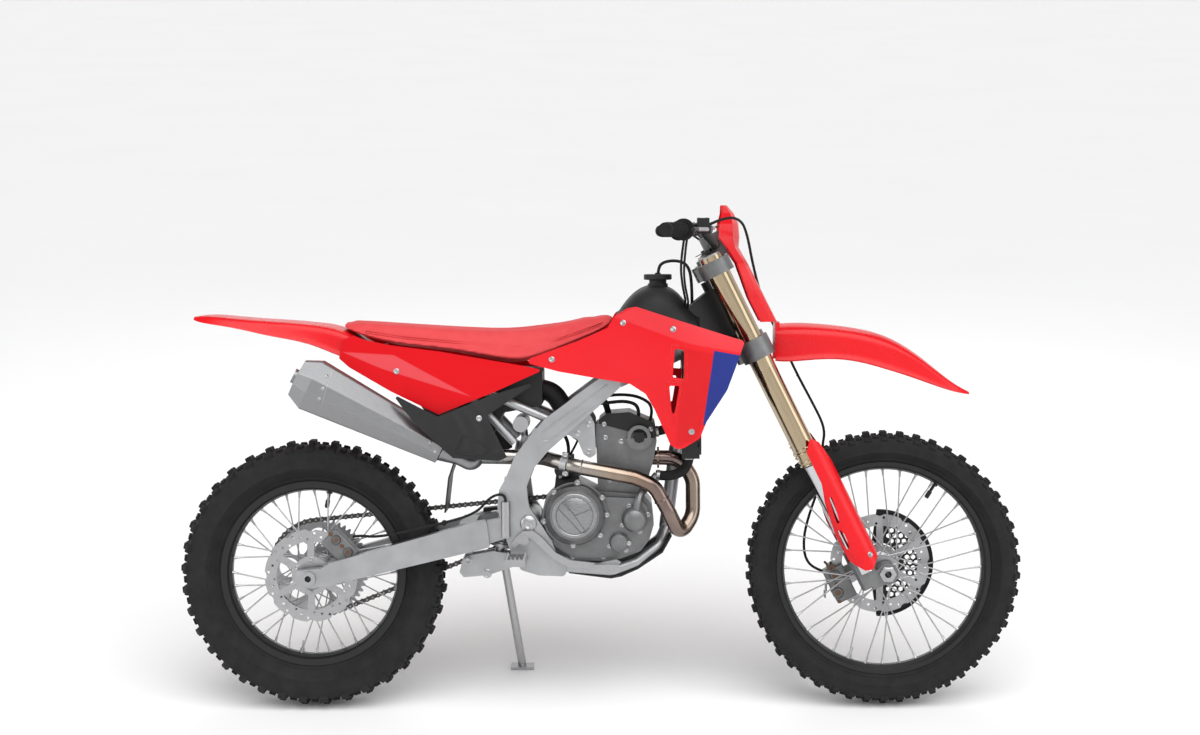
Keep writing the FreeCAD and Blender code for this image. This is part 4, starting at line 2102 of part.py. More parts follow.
def foot_controls():
    """Brake pedal with its master cylinder on the right, gear lever on the left."""
    plate = size("plate_outer")
    near = plate + size("pedal_gap")
    pedal = prism(outline("pedal", PEDAL_SHARES), -near, -near - size("pedal_thickness"))
    x, z = size("pedal_x"), size("pedal_z")
    length, height = size("pedal_length"), size("pedal_height")
    toe = Part.makeBox(0.22 * length, size("toe_pad_length"), 0.14 * height,
                       Vector(x + 0.76 * length,
                              -near - size("pedal_thickness") - size("toe_pad_length") * 0.6,
                              z + 0.02 * height))
    pivot = Vector(x + 0.12 * length, 0, z + 0.76 * height)
    boss = rod(pivot - LEFTWARD * (plate + size("seat_gap")),
               pivot - LEFTWARD * (near + 1.4 * size("pedal_thickness")), 0.13 * height)
    right = joined([pedal, toe, boss])
    shaft = Vector(size("shift_shaft_x"), 0, size("shift_shaft_z"))
    y = size("shift_lever_y")
    reach = size("shift_lever_length")
    tip = shaft + Vector(reach, y + size("lever_radius"), -0.1 * reach)
    root = shaft + LEFTWARD * y
    left = joined([rod(shaft + LEFTWARD * size("case_left"), root + LEFTWARD * size("shift_boss"),
                       size("lever_radius") * 1.3),
                   tube([root, root + (tip - root) * 0.5 - UP * size("shift_dip"), tip],
                        size("lever_radius"), size("shift_bend")),
                   rod(tip - LEFTWARD * size("shift_toe_inner"),
                       tip + LEFTWARD * size("shift_toe_length"), size("shift_toe_radius"))])
    master_y = -plate - size("master_radius") - size("seat_gap")
    master_base = Vector(size("master_x"), master_y, size("master_z"))
    master = joined([rod(master_base, master_base + UP * size("master_height"), size("master_radius")),
                     rod(master_base + UP * (0.62 * size("master_height")),
                         master_base + UP * (0.98 * size("master_height")), size("master_radius") * 1.02)])
    return Part.makeCompound([right, left, master])


feature("foot_controls", foot_controls())


def rear_caliper():
    """Caliper over the top of the rear disc, on a bracket along the right beam."""
    y, thick = -size("rear_disc_offset"), size("disc_thickness")
    radius = size("rear_disc_radius")
    body = caliper(radius, y, thick, 0, size("rear_caliper_length"),
                   y - size("rear_caliper_inner") + size("seat_gap"), y + size("rear_caliper_outer"))
    body.rotate(Vector(), LEFTWARD, -44)
    return largest(body)


feature("rear_caliper", rear_caliper(), at_point(REAR_AXLE))


# Side stand

def ground_drop():
    """How far the ground lies under the bike frame's origin, once the tyres lean on it."""
    lean = math.radians(size("lean_angle"))
    return size("crown_half_width") * math.sin(lean)


def side_stand():
    """Stand leg with its hinge eye, and a foot that lies flat on the ground."""
    lean = math.radians(size("lean_angle"))
    foot_y = size("stand_foot_y")
    level = (foot_y * math.sin(lean) - ground_drop()) / math.cos(lean)
    sole = Vector(size("stand_foot_x"), foot_y, level)
    ground_up = Vector(0, -math.sin(lean), math.cos(lean))
    ankle = sole + ground_up * (size("stand_foot_thickness") / 2)
    hinge, radius = size("stand_hinge_half"), size("stand_hinge_radius")
    axis = STAND_HINGE.Rotation.multVec(LEFTWARD)
    eye = rod(STAND_PIVOT - axis * hinge, STAND_PIVOT + axis * hinge, radius)
    leg = rod(STAND_PIVOT, ankle, size("stand_leg_radius"))
    behind = Part.makeBox(4 * radius, radius, 4 * radius, Vector(-2 * radius, -hinge - radius, -2 * radius))
    behind.Placement = STAND_HINGE
    leg = leg.cut(behind)
    foot = Part.makeBox(size("stand_foot_length"), size("stand_foot_width"), size("stand_foot_thickness"),
                        Vector(-size("stand_foot_length") / 2, -size("stand_foot_width") / 2, 0))
    foot.Placement = Placement(sole, Rotation(Vector(1, 0, 0), size("lean_angle")))
    return joined([eye, leg, foot])


feature("side_stand", side_stand())


# Parking the whole bike, and writing the pieces out

def settled():
    """Leaned placement of every piece, with the origin under the middle of the whole box."""
    whole = FreeCAD.BoundBox()
    for piece, frame in pieces.values():
        piece.Placement = LEAN.multiply(frame)
        whole.add(piece.Shape.optimalBoundingBox(False))
    return Placement(Vector(-whole.Center.x, -whole.Center.y, -whole.ZMin), Rotation()).multiply(LEAN)


doc.recompute()
parked = settled()
for piece, frame in pieces.values():
    piece.Placement = parked.multiply(frame)
doc.recompute()

for item in doc.Objects:
    if "Invalid" in item.State or "Error" in item.State:
        raise RuntimeError("%s failed" % item.Label)
os.makedirs("parts", exist_ok=True)
for name, (piece, frame) in pieces.items():
    if piece.Shape.isNull() or not piece.Shape.isValid():
        raise RuntimeError("%s is not a valid shape" % name)
    piece.Shape.exportStep("parts/%s.step" % name)
print("shift", parked.Base, "pieces", len(pieces))
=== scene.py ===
"""Looks of the motocross bike: stage, camera, finishes and the pieces finer than its solids.

Pieces are modelled upright in the bike frame, in metres: X forward from the rear axle, Y to the
left, Z up from the ground. Each is then leaned onto the side stand with the rest of the bike.
"""

import json
import math

import bmesh
import bpy
from mathutils import Matrix, Vector
from mathutils.bvhtree import BVHTree


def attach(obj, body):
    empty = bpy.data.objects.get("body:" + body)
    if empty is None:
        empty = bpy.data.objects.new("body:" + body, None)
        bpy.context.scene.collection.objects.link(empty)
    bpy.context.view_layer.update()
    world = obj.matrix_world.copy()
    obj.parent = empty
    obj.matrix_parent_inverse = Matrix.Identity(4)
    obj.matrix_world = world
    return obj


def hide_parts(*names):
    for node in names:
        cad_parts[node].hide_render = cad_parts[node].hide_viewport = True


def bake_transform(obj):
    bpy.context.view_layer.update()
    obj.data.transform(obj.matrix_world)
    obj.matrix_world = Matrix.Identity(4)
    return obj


bl_info = {
    "name": "Motocross bike",
    "version": (1, 0, 0),
    "blender": (4, 5, 0),
    "location": "View3D > Sidebar > Bike",
    "description": "Dresses the motocross bike's solids with finishes, tyres, seat and small parts",
    "category": "Object",
}

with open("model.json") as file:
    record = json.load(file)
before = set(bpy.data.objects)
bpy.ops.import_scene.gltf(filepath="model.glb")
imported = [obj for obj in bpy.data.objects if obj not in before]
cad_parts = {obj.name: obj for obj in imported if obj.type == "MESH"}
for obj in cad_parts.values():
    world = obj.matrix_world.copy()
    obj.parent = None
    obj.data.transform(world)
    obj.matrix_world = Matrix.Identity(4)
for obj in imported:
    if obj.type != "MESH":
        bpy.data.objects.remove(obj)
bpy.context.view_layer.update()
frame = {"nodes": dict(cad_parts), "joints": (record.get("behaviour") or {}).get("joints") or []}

REAR_AXLE = Vector((0, 0, 0.346))
FRONT_AXLE = Vector((1.477, 0, 0.355))
COUNTERSHAFT = Vector((0.645, 0, 0.503))
RAKE = math.radians(26.2)
ALONG = Vector((-math.sin(RAKE), 0, math.cos(RAKE)))
AHEAD = Vector((math.cos(RAKE), 0, math.sin(RAKE)))
FORK_FOOT = FRONT_AXLE - 0.046 * AHEAD
FORK_SPREAD = 0.098
UP = Vector((0, 0, 1))
LEFTWARD = Vector((0, 1, 0))
RIGHTWARD = Vector((0, -1, 0))
FULL_TURN = 2 * math.pi
SIDES = (-1, 1)
SMOOTH_BELOW = math.radians(40)
# Turns that lay a drawn or brushed grain along the parts of the leaning bike
GRAIN_LEAN = 0.166
GRAIN_RAKE = 0.457


def parked_placement():
    """Placement of the upright bike frame once the bike leans on its stand."""
    spin = next(joint for joint in frame["joints"] if joint["name"] == "rear_wheel_spin")
    axis, centre = Vector(spin["axis"]), Vector(spin["pos_m"])
    lean = Matrix.Rotation(math.atan2(axis.z, axis.y), 4, "X")
    return Matrix.Translation(centre - lean @ REAR_AXLE) @ lean


PARKED = parked_placement()
LEAN = PARKED.to_euler().x


def fork_point(ahead, across, along):
    """Point given from the fork line: forward of it, to the left and up along it."""
    return FORK_FOOT + AHEAD * ahead + LEFTWARD * across + ALONG * along


def around(radius, angle, y=0.0):
    """Step from an axle's middle to a point on a circle about it, at a distance to the left."""
    return Vector((radius * math.cos(angle), y, radius * math.sin(angle)))


# Shading

class Signal:
    """One socket of a finish, so that sums on it add Math nodes."""

    def __init__(self, finish, socket):
        self.finish = finish
        self.socket = socket

    def work(self, operation, first, second):
        return self.finish.node("Math", {"operation": operation}, {0: first, 1: second})[0]

    def __add__(self, other):
        return self.work("ADD", self, other)

    def __radd__(self, other):
        return self.work("ADD", other, self)

    def __sub__(self, other):
        return self.work("SUBTRACT", self, other)

    def __rsub__(self, other):
        return self.work("SUBTRACT", other, self)

    def __mul__(self, other):
        return self.work("MULTIPLY", self, other)

    def __rmul__(self, other):
        return self.work("MULTIPLY", other, self)


class Outputs:
    """Outputs of one node, each given as a Signal."""

    def __init__(self, finish, made):
        self.finish = finish
        self.made = made

    def __getitem__(self, key):
        return Signal(self.finish, self.made.outputs[key])


class Finish:
    """Material under construction, with one method that makes any node."""

    def __init__(self, name, base, roughness, metallic=0.0, **settings):
        self.material = bpy.data.materials.new(name)
        self.material.use_nodes = True
        self.material.diffuse_color = (*base, 1)
        self.tree = self.material.node_tree
        self.shader = self.tree.nodes["Principled BSDF"]
        self.shader.inputs["Base Color"].default_value = (*base, 1)
        self.shader.inputs["Roughness"].default_value = roughness
        self.shader.inputs["Metallic"].default_value = metallic
        for key, value in settings.items():
            self.shader.inputs[key.replace("_", " ")].default_value = value
        self.place = self.node("TexCoord", {}, {})["Object"]

    def node(self, kind, settings, inputs):
        """Adds a node and gives its outputs; settings may hold a ramp's stops."""
        made = self.tree.nodes.new("ShaderNode" + kind)
        for key, value in settings.items():
            if key != "stops":
                setattr(made, key, value)
                continue
            ramp = made.color_ramp.elements
            while len(ramp) < len(value):
                ramp.new(1.0)
            for element, (position, colour) in zip(ramp, value):
                element.position = position
                element.color = (*colour, 1)
        for key, value in inputs.items():
            if isinstance(value, Signal):
                self.tree.links.new(value.socket, made.inputs[key])
            else:
                made.inputs[key].default_value = value
        return Outputs(self, made)

    def mapped(self, scale=(1, 1, 1), turn=(0, 0, 0), centre=(0, 0, 0)):
        """Object coordinates about a centre, turned and stretched."""
        moved = self.node("VectorMath", {"operation": "SUBTRACT"}, {0: self.place, 1: centre})[0]
        turned = self.node("VectorRotate", {"rotation_type": "EULER_XYZ"},
                           {"Vector": moved, "Rotation": turn})[0]
        return self.node("VectorMath", {"operation": "MULTIPLY"}, {0: turned, 1: scale})[0]

    def upright(self):
        """Place in the bike frame, before it leans on its stand."""
        return self.mapped(turn=(-LEAN, 0, 0), centre=PARKED.translation)

    def parted(self, vector):
        """The three numbers of a vector."""
        parts = self.node("SeparateXYZ", {}, {0: vector})
        return parts["X"], parts["Y"], parts["Z"]

    def inside(self, x, z, corners, soft=0.0008):
        """1 within a convex outline given clockwise in side view, 0 outside it."""
        share = None
        for (ax, az), (bx, bz) in zip(corners, corners[1:] + corners[:1]):
            run = math.hypot(bx - ax, bz - az)
            start = (ax * (bz - az) - az * (bx - ax)) / run
            depth = x * ((bz - az) / run) - z * ((bx - ax) / run) - start
            edge = self.stepped(depth, -soft, soft)
            share = edge if share is None else share * edge
        return share

    def grain(self, scale, detail=3.0, where=None):
        return self.node("TexNoise", {}, {"Vector": where or self.place, "Scale": scale,
                                          "Detail": detail})[0]

    def dots(self, where, scale, randomness=1.0):
        """Distance to the nearest of a field of dots."""
        return self.node("TexVoronoi", {"feature": "F1"},
                         {"Vector": where, "Scale": scale, "Randomness": randomness})["Distance"]

    def stepped(self, value, low, high):
        """Smooth step of a value from 0 at low to 1 at high."""
        return self.node("MapRange", {"interpolation_type": "SMOOTHSTEP"},
                         {0: value, 1: low, 2: high, 3: 0.0, 4: 1.0})[0]

    def blended(self, share, first, second):
        first = (*first, 1) if isinstance(first, tuple) else first
        second = (*second, 1) if isinstance(second, tuple) else second
        return self.node("Mix", {"data_type": "RGBA"}, {0: share, 6: first, 7: second})[2]

    def feed(self, name, signal):
        self.tree.links.new(signal.socket, self.shader.inputs[name])

    def surface(self, colour, roughness, relief, depth, strength=1.0):
        """Feeds what changes over the surface: its colour, its gloss and its relief."""
        self.feed("Base Color", colour)
        self.feed("Roughness", roughness)
        self.feed("Normal", self.node("Bump", {}, {"Height": relief, "Distance": depth,
                                                   "Strength": strength})[0])
        return self


def varied(name, base, roughness, metallic=0.0, tint=0.12, scale=40.0, rough_spread=0.12,
           bump_scale=600.0, bump_depth=0.0001, **settings):
    """Finish with mottled colour, uneven gloss and a fine surface grain."""
    made = Finish(name, base, roughness, metallic, **settings)
    dark, light = (tuple(min(1, c * (1 + shift)) for c in base) for shift in (-tint, tint))
    return made.surface(made.blended(made.grain(scale), dark, light),
                        roughness - rough_spread / 2 + rough_spread * made.grain(scale * 2.3),
                        made.grain(bump_scale, 2.0), bump_depth)


# Finishes that differ only in numbers: base colour, roughness, metallic and settings of varied()
EVEN_FINISHES = {
    # Black moulded plate with a faint sheen of dust
    "honeycomb_black": ((0.010, 0.010, 0.011), 0.45, 0.0, dict(
        tint=0.35, scale=35.0, bump_scale=400.0, Specular_IOR_Level=0.35)),
    # Engine castings: bead-blasted grey metal
    "cast_alloy": ((0.195, 0.197, 0.20), 0.42, 0.85, dict(
        tint=0.30, scale=28.0, bump_scale=420.0, bump_depth=0.0003)),
    "black_enamel": ((0.009, 0.009, 0.010), 0.34, 0.0, dict(
        tint=0.3, scale=50.0, bump_scale=500.0, bump_depth=0.00008, Specular_IOR_Level=0.4)),
    "hard_chrome": ((0.62, 0.63, 0.65), 0.09, 1.0, dict(
        tint=0.04, rough_spread=0.05, bump_scale=300.0, bump_depth=0.00001)),
    "plain_steel": ((0.42, 0.42, 0.43), 0.32, 0.95, dict(
        tint=0.1, scale=70.0, bump_scale=700.0, bump_depth=0.00005)),
    # Darkened bronze of piston caps and pins
    "bronze_pad": ((0.16, 0.095, 0.065), 0.42, 0.8, dict(tint=0.3, scale=90.0, bump_scale=500.0)),
    "oiled_steel": ((0.10, 0.095, 0.09), 0.42, 0.9, dict(tint=0.5, scale=160.0, bump_scale=900.0)),
}


def red_gloss():
    """Moulded body plastic: deep gloss with faint flow marks."""
    return varied("red_gloss", (0.70, 0.0035, 0.009), 0.28, tint=0.05, scale=9.0, rough_spread=0.1,
                  bump_scale=900.0, bump_depth=0.00002, Specular_IOR_Level=0.34)


def shroud_red():
    """Shroud plastic: a sloping upper facet painted paler as a painted highlight, a lower patch
    painted darker as painted shade, and a plain wedge along the front edge.
    """
    made = Finish("shroud_red", (0.78, 0.0035, 0.009), 0.30, Specular_IOR_Level=0.32)
    x, _, z = made.parted(made.upright())
    # Painted highlight: outline of the sloping upper facet, blended paler below
    upper = made.inside(x, z, [(0.788, 1.012), (0.839, 1.040), (1.115, 0.957), (1.100, 0.924),
                               (0.969, 0.948)], 0.003)
    # Painted shade: outline of a lower patch, blended darker below
    lower = made.inside(x, z, [(0.955, 0.938), (1.060, 0.918), (0.990, 0.705), (0.938, 0.690)],
                        0.006)
    wedge = made.inside(x, z, [(1.034, 0.930), (1.120, 0.914), (1.120, 0.740), (1.006, 0.744)])
    base = made.blended(made.grain(9.0), (0.70, 0.0055, 0.012), (0.76, 0.0065, 0.014))
    # Paler red over the upper facet as painted highlight, darker red over the lower patch as
    # painted shade
    base = made.blended(0.30 * upper, base, (0.80, 0.10, 0.12))
    base = made.blended(0.60 * lower, base, (0.56, 0.0015, 0.004))
    return made.surface(made.blended(wedge, base, (0.012, 0.026, 0.21)),
                        0.25 + 0.1 * made.grain(20.0), made.grain(900.0, 2.0), 0.00002)


def side_red():
    """Side panel plastic with a facet along its middle painted paler as a painted highlight."""
    made = Finish("side_red", (0.64, 0.0030, 0.008), 0.34, Specular_IOR_Level=0.16)
    x, _, z = made.parted(made.upright())
    # Painted highlight: outline of the facet along the panel's middle, blended paler below
    facet = made.inside(x, z, [(0.095, 0.925), (0.225, 0.917), (0.420, 0.812), (0.190, 0.884)],
                        0.002)
    base = made.blended(made.grain(9.0), (0.61, 0.0028, 0.0075), (0.67, 0.0032, 0.0085))
    # Half-strength paler red over the facet as painted highlight
    return made.surface(made.blended(0.5 * facet, base, (0.74, 0.13, 0.15)),
                        0.25 + 0.1 * made.grain(20.0), made.grain(900.0, 2.0), 0.00002)


def control_parts():
    """Lever perches and switch housings in black, with bare metal lever blades."""
    made = Finish("control_parts", (0.009, 0.009, 0.010), 0.36, Specular_IOR_Level=0.4)
    x, y, _ = made.parted(made.upright())
    across = made.node("Math", {"operation": "ABSOLUTE"}, {0: y})[0]
    blade = made.stepped(x, 0.992, 0.994) * made.stepped(across, 0.262, 0.264)
    black = made.blended(made.grain(50.0), (0.007, 0.007, 0.008), (0.014, 0.014, 0.015))
    made.feed("Metallic", blade * 0.95)
    return made.surface(made.blended(blade, black, (0.42, 0.42, 0.43)),
                        0.30 + 0.12 * made.grain(90.0), made.grain(500.0, 2.0), 0.00006)


def grip_plate():
    """Black side plate with a field of raised grip dots ahead of its rear corner."""
    made = Finish("grip_plate", (0.011, 0.011, 0.012), 0.5, Specular_IOR_Level=0.35)
    where = made.upright()
    x, _, z = made.parted(where)
    field = made.inside(x, z, [(0.372, 0.768), (0.455, 0.808), (0.516, 0.668), (0.400, 0.664)],
                        0.002)
    raised = made.stepped(made.dots(where, 210.0, 0.0), 0.42, 0.18) * field
    black = made.blended(made.grain(25.0), (0.007, 0.007, 0.008), (0.018, 0.018, 0.019))
    # The raised dots are painted paler as a painted highlight on their tops, besides their real
    # relief
    return made.surface(made.blended(0.6 * raised, black, (0.035, 0.035, 0.037)),
                        0.42 + 0.18 * made.grain(60.0),
                        raised + 0.15 * made.grain(700.0, 2.0), 0.0006, 0.8)


def black_grained():
    """Black moulded plastic with a fine leather-like grain."""
    made = Finish("black_grained", (0.011, 0.011, 0.012), 0.5, Specular_IOR_Level=0.35)
    return made.surface(
        made.blended(made.grain(25.0), (0.007, 0.007, 0.008), (0.018, 0.018, 0.019)),
        0.42 + 0.18 * made.grain(60.0), made.dots(made.place, 700.0), 0.0002, 0.6)


def satin_alloy():
    """Cast and forged frame aluminium: satin, with fine brushing, and painted black at the head as
    painted shade.
    """
    made = Finish("satin_alloy", (0.40, 0.405, 0.415), 0.40, 0.85)
    brushed = made.grain(14.0, 5.0, made.mapped(scale=(3, 60, 20)))
    bare = made.blended(made.grain(18.0), (0.31, 0.315, 0.325), (0.49, 0.495, 0.505))
    x, _, z = made.parted(made.upright())
    # Painted shade: the steering head is painted black and not metallic, standing for the shade it
    # lies in
    head = made.stepped(x * 0.62 + z, 1.532, 1.540)
    made.feed("Metallic", 0.85 - 0.85 * head)
    return made.surface(made.blended(head, bare, (0.010, 0.010, 0.011)), 0.28 + 0.2 * brushed,
                        made.grain(500.0, 2.0) + 0.4 * brushed, 0.00006)


def machined_alloy():
    """Turned faces of the engine covers: brighter than the castings, with fine tool marks."""
    made = Finish("machined_alloy", (0.30, 0.303, 0.31), 0.28, 0.95)
    marks = made.grain(60.0, 4.0, made.mapped(scale=(1, 1, 8)))
    return made.surface(made.blended(marks, (0.24, 0.243, 0.25), (0.37, 0.373, 0.38)),
                        0.22 + 0.14 * marks, marks, 0.00003)


def brushed_alloy():
    """Muffler body, brushed along its length."""
    made = Finish("brushed_alloy", (0.29, 0.292, 0.30), 0.33, 0.9)
    streaks = made.grain(9.0, 6.0, made.mapped(scale=(4, 30, 70), turn=(GRAIN_LEAN, -0.48, 0)))
    return made.surface(made.blended(streaks, (0.23, 0.232, 0.24), (0.35, 0.352, 0.36)),
                        0.25 + 0.22 * streaks, streaks, 0.00008)


def gold_anodised():
    """Fork outer tubes: pale champagne gold with a drawn grain."""
    made = Finish("gold_anodised", (0.45, 0.36, 0.24), 0.12, 1.0)
    drawn = made.grain(12.0, 4.0, made.mapped(scale=(90, 90, 3), turn=(GRAIN_LEAN, GRAIN_RAKE, 0)))
    return made.surface(made.blended(drawn, (0.38, 0.30, 0.195), (0.53, 0.43, 0.29)),
                        0.09 + 0.08 * drawn, drawn, 0.00002)


def heated_steel():
    """Header pipe: straw and bronze heat colours that fade towards the muffler."""
    made = Finish("heated_steel", (0.50, 0.42, 0.33), 0.26, 1.0)
    along = made.parted(made.place)[0]
    wander = 0.14 * made.grain(16.0, 3.0)
    heat = made.node("ValToRGB", {"stops": [
        (0.0, (0.36, 0.35, 0.34)), (0.50, (0.34, 0.31, 0.28)), (0.68, (0.36, 0.29, 0.23)),
        (0.82, (0.27, 0.19, 0.145)), (0.92, (0.20, 0.15, 0.14)), (1.0, (0.31, 0.25, 0.20))]},
        {0: made.stepped(along + wander, -0.32, 0.36)})[0]
    return made.surface(heat, 0.17 + 0.1 * made.grain(60.0), made.grain(160.0, 2.0), 0.00001)


def seat_cover():
    """Coral-red cover with a fine grip texture of raised dots."""
    made = Finish("seat_cover", (0.69, 0.055, 0.06), 0.62, Specular_IOR_Level=0.3)
    dots = made.dots(made.mapped(turn=(GRAIN_LEAN, 0, 0)), 330.0, 0.15)
    return made.surface(
        made.blended(made.grain(30.0), (0.64, 0.045, 0.050), (0.74, 0.072, 0.078)),
        0.56 + 0.14 * made.grain(70.0), 1.0 - made.stepped(dots, 0.1, 0.45), 0.0003, 0.7)


def rubber(name, base, scale):
    """Black rubber with a dusty bloom that varies over the surface."""
    made = Finish(name, base, 0.72, Specular_IOR_Level=0.25)
    dark, light = (tuple(share * c for c in base) for share in (0.4, 1.9))
    return made.surface(made.blended(made.grain(scale, 4.0), dark, light),
                        0.6 + 0.25 * made.grain(scale * 3), made.grain(350.0, 3.0), 0.0002)


def floor_paint():
    made = Finish("floor_paint", (0.93, 0.93, 0.93), 0.85)
    return made.surface(made.blended(made.grain(0.8), (0.91, 0.91, 0.91), (0.95, 0.95, 0.95)),
                        0.8 + 0.1 * made.grain(30.0), made.grain(200.0, 2.0), 0.0001)


# Colour and grain of each rubber
RUBBERS = {
    "tyre_rubber": ((0.0105, 0.0105, 0.011), 26.0),
    "hose_rubber": ((0.009, 0.009, 0.009), 90.0),
    "grip_rubber": ((0.009, 0.009, 0.009), 60.0),
}

# Solids that wear each finish
WORN_BY = {
    "shroud_red": ["shrouds"],
    "side_red": ["side_covers"],
    "control_parts": ["controls"],
    "honeycomb_black": ["disc_guard"],
    "grip_plate": ["lower_covers"],
    "red_gloss": ["rear_fender", "front_fender", "number_plate", "fork_guards"],
    "black_grained": ["fuel_tank", "fuel_cap", "airbox", "chain_guides", "skid_plate"],
    "satin_alloy": ["main_frame", "subframe", "swingarm", "linkage"],
    "cast_alloy": ["crankcase", "engine_covers", "cylinder", "triple_clamps", "fork_lugs",
                   "bar_clamps", "rear_caliper", "front_caliper"],
    "black_enamel": ["head_cover", "handlebar", "front_rim", "rear_rim", "radiators"],
    "brushed_alloy": ["muffler"],
    "gold_anodised": ["fork_outer_tubes"],
    "hard_chrome": ["fork_inner_tubes"],
    "plain_steel": ["front_disc", "rear_disc", "front_axle", "rear_axle", "footpegs",
                    "foot_controls", "side_stand", "shock_absorber", "rear_sprocket",
                    "front_hub", "rear_hub"],
    "heated_steel": ["exhaust_header"],
    "oiled_steel": ["drive_chain", "front_sprocket"],
    "seat_cover": ["seat"],
    "grip_rubber": ["grips"],
    "tyre_rubber": ["front_tyre", "rear_tyre"],
}

FINISHES = {}


class BIKE_OT_finishes(bpy.types.Operator):
    """Gives every solid its finish"""
    bl_idname = "bike.finishes"
    bl_label = "Finishes"

    def execute(self, context):
        for name, (base, roughness, metallic, settings) in EVEN_FINISHES.items():
            FINISHES[name] = varied(name, base, roughness, metallic, **settings).material
        for maker in (red_gloss, shroud_red, side_red, control_parts, grip_plate, black_grained,
                      satin_alloy, machined_alloy, brushed_alloy, gold_anodised, heated_steel,
                      seat_cover):
            FINISHES[maker.__name__] = maker().material
        for name, (base, scale) in RUBBERS.items():
            FINISHES[name] = rubber(name, base, scale).material
        for finish, names in WORN_BY.items():
            for name in names:
                mesh = frame["nodes"][name].data
                mesh.materials.clear()
                mesh.materials.append(FINISHES[finish])
        return {"FINISHED"}


# Meshes

def loose_piece(name, form, finishes):
    """Leans a finished bmesh with the bike and makes it a named piece on no body yet."""
    bmesh.ops.recalc_face_normals(form, faces=form.faces)
    form.transform(PARKED)
    mesh = bpy.data.meshes.new(name)
    form.to_mesh(mesh)
    form.free()
    mesh.shade_smooth()
    mesh.set_sharp_from_angle(angle=SMOOTH_BELOW)
    for finish in [finishes] if isinstance(finishes, str) else finishes:
        mesh.materials.append(FINISHES[finish])
    piece = bpy.data.objects.new(name, mesh)
    bpy.context.scene.collection.objects.link(piece)
    return piece


def as_piece(name, form, body, finishes, stands_for=()):
    """Piece that rides on a body and may stand for solids."""
    piece = loose_piece(name, form, finishes)
    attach(piece, body)
    if stands_for:
        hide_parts(*stands_for)


def facing(at, direction):
    """Placement at a point with its Z along a direction."""
    return Matrix.Translation(at) @ Vector(direction).to_track_quat("Z", "Y").to_matrix().to_4x4()


def side_on(side, y):
    """Placement that draws an outline from the side of the bike: x, z and height off the plane."""
    return Matrix(((1, 0, 0, 0), (0, 0, side, y), (0, 1, 0, 0), (0, 0, 0, 1)))


def join_copies(form, part, places, finish=None):
    """Joins a shape to a form once at each placement, in one finish unless it has its own."""
    for face in part.faces if finish is not None else ():
        face.material_index = finish
    mesh = bpy.data.meshes.new("shape")
    part.to_mesh(mesh)
    part.free()
    for place in places:
        mesh.transform(place)
        form.from_mesh(mesh)
        mesh.transform(place.inverted())
    bpy.data.meshes.remove(mesh)


def add_turned(form, profile, place, steps=48, finish=0):
    """Adds a body of revolution about a placement's Z; the profile holds radius and height."""
    part = bmesh.new()
    corners = [part.verts.new((radius, 0, height)) for radius, height in profile]
    edges = [part.edges.new(pair) for pair in zip(corners, corners[1:])]
    if profile[0][0] > 0 and profile[-1][0] > 0:
        edges.append(part.edges.new((corners[-1], corners[0])))
    bmesh.ops.spin(part, geom=corners + edges, cent=(0, 0, 0), axis=(0, 0, 1), dvec=(0, 0, 0),
                   angle=FULL_TURN, steps=steps, use_merge=True, use_normal_flip=False,
                   use_duplicate=False)
    bmesh.ops.remove_doubles(part, verts=part.verts, dist=1e-6)
    join_copies(form, part, [place], finish)


def add_cap(form, at, direction, profile, finish=0, steps=32):
    """Adds a turned cap or boss that stands on a point along a direction."""
    add_turned(form, profile, facing(at, direction), steps, finish)


def add_band(form, at, direction, inner, outer, half, finish=0, steps=40):
    """Adds a flat band about a direction, such as a clamp or a clip."""
    add_cap(form, at, direction, [(inner, -half), (outer, -half), (outer, half), (inner, half)],
            finish, steps)


def add_ring(form, at, direction, radius, wire, steps=40):
    """Adds a rounded ring, such as a weld or a seal, about a direction."""
    angles = [i * FULL_TURN / 8 for i in range(8)]
    section = [(radius + wire * math.cos(a), wire * math.sin(a)) for a in angles]
    add_cap(form, at, direction, section, 0, steps)


def chamfer_edges(part, edges, bevel, segments=1):
    bmesh.ops.bevel(part, geom=edges, offset=bevel, segments=segments, profile=0.5,
                    affect="EDGES", material=-1, offset_type="OFFSET")


def add_block(form, size, place, bevel=0.0, segments=1, taper=1.0, finish=0):
    """Adds a block with chamfered edges, its top narrowed by a taper."""
    part = bmesh.new()
    made = bmesh.ops.create_cube(part, size=1.0)["verts"]
    bmesh.ops.scale(part, vec=size, verts=made)
    bmesh.ops.scale(part, vec=(taper, taper, 1), verts=[vert for vert in made if vert.co.z > 0])
    if bevel:
        chamfer_edges(part, part.edges, bevel, segments)
    join_copies(form, part, [place], finish)


def add_plate(form, outline, thickness, place, bevel=0.0):
    """Adds a flat plate from an outline in a placement's XY, thickened along its Z."""
    part = bmesh.new()
    face = part.faces.new([part.verts.new((x, y, 0)) for x, y in outline])
    raised = bmesh.ops.extrude_face_region(part, geom=[face], use_keep_orig=True)["geom"]
    top = [item for item in raised if isinstance(item, bmesh.types.BMVert)]
    bmesh.ops.translate(part, vec=(0, 0, thickness), verts=top)
    if bevel:
        rim = [edge for edge in part.edges if all(vert in top for vert in edge.verts)]
        chamfer_edges(part, rim, bevel)
    join_copies(form, part, [place])


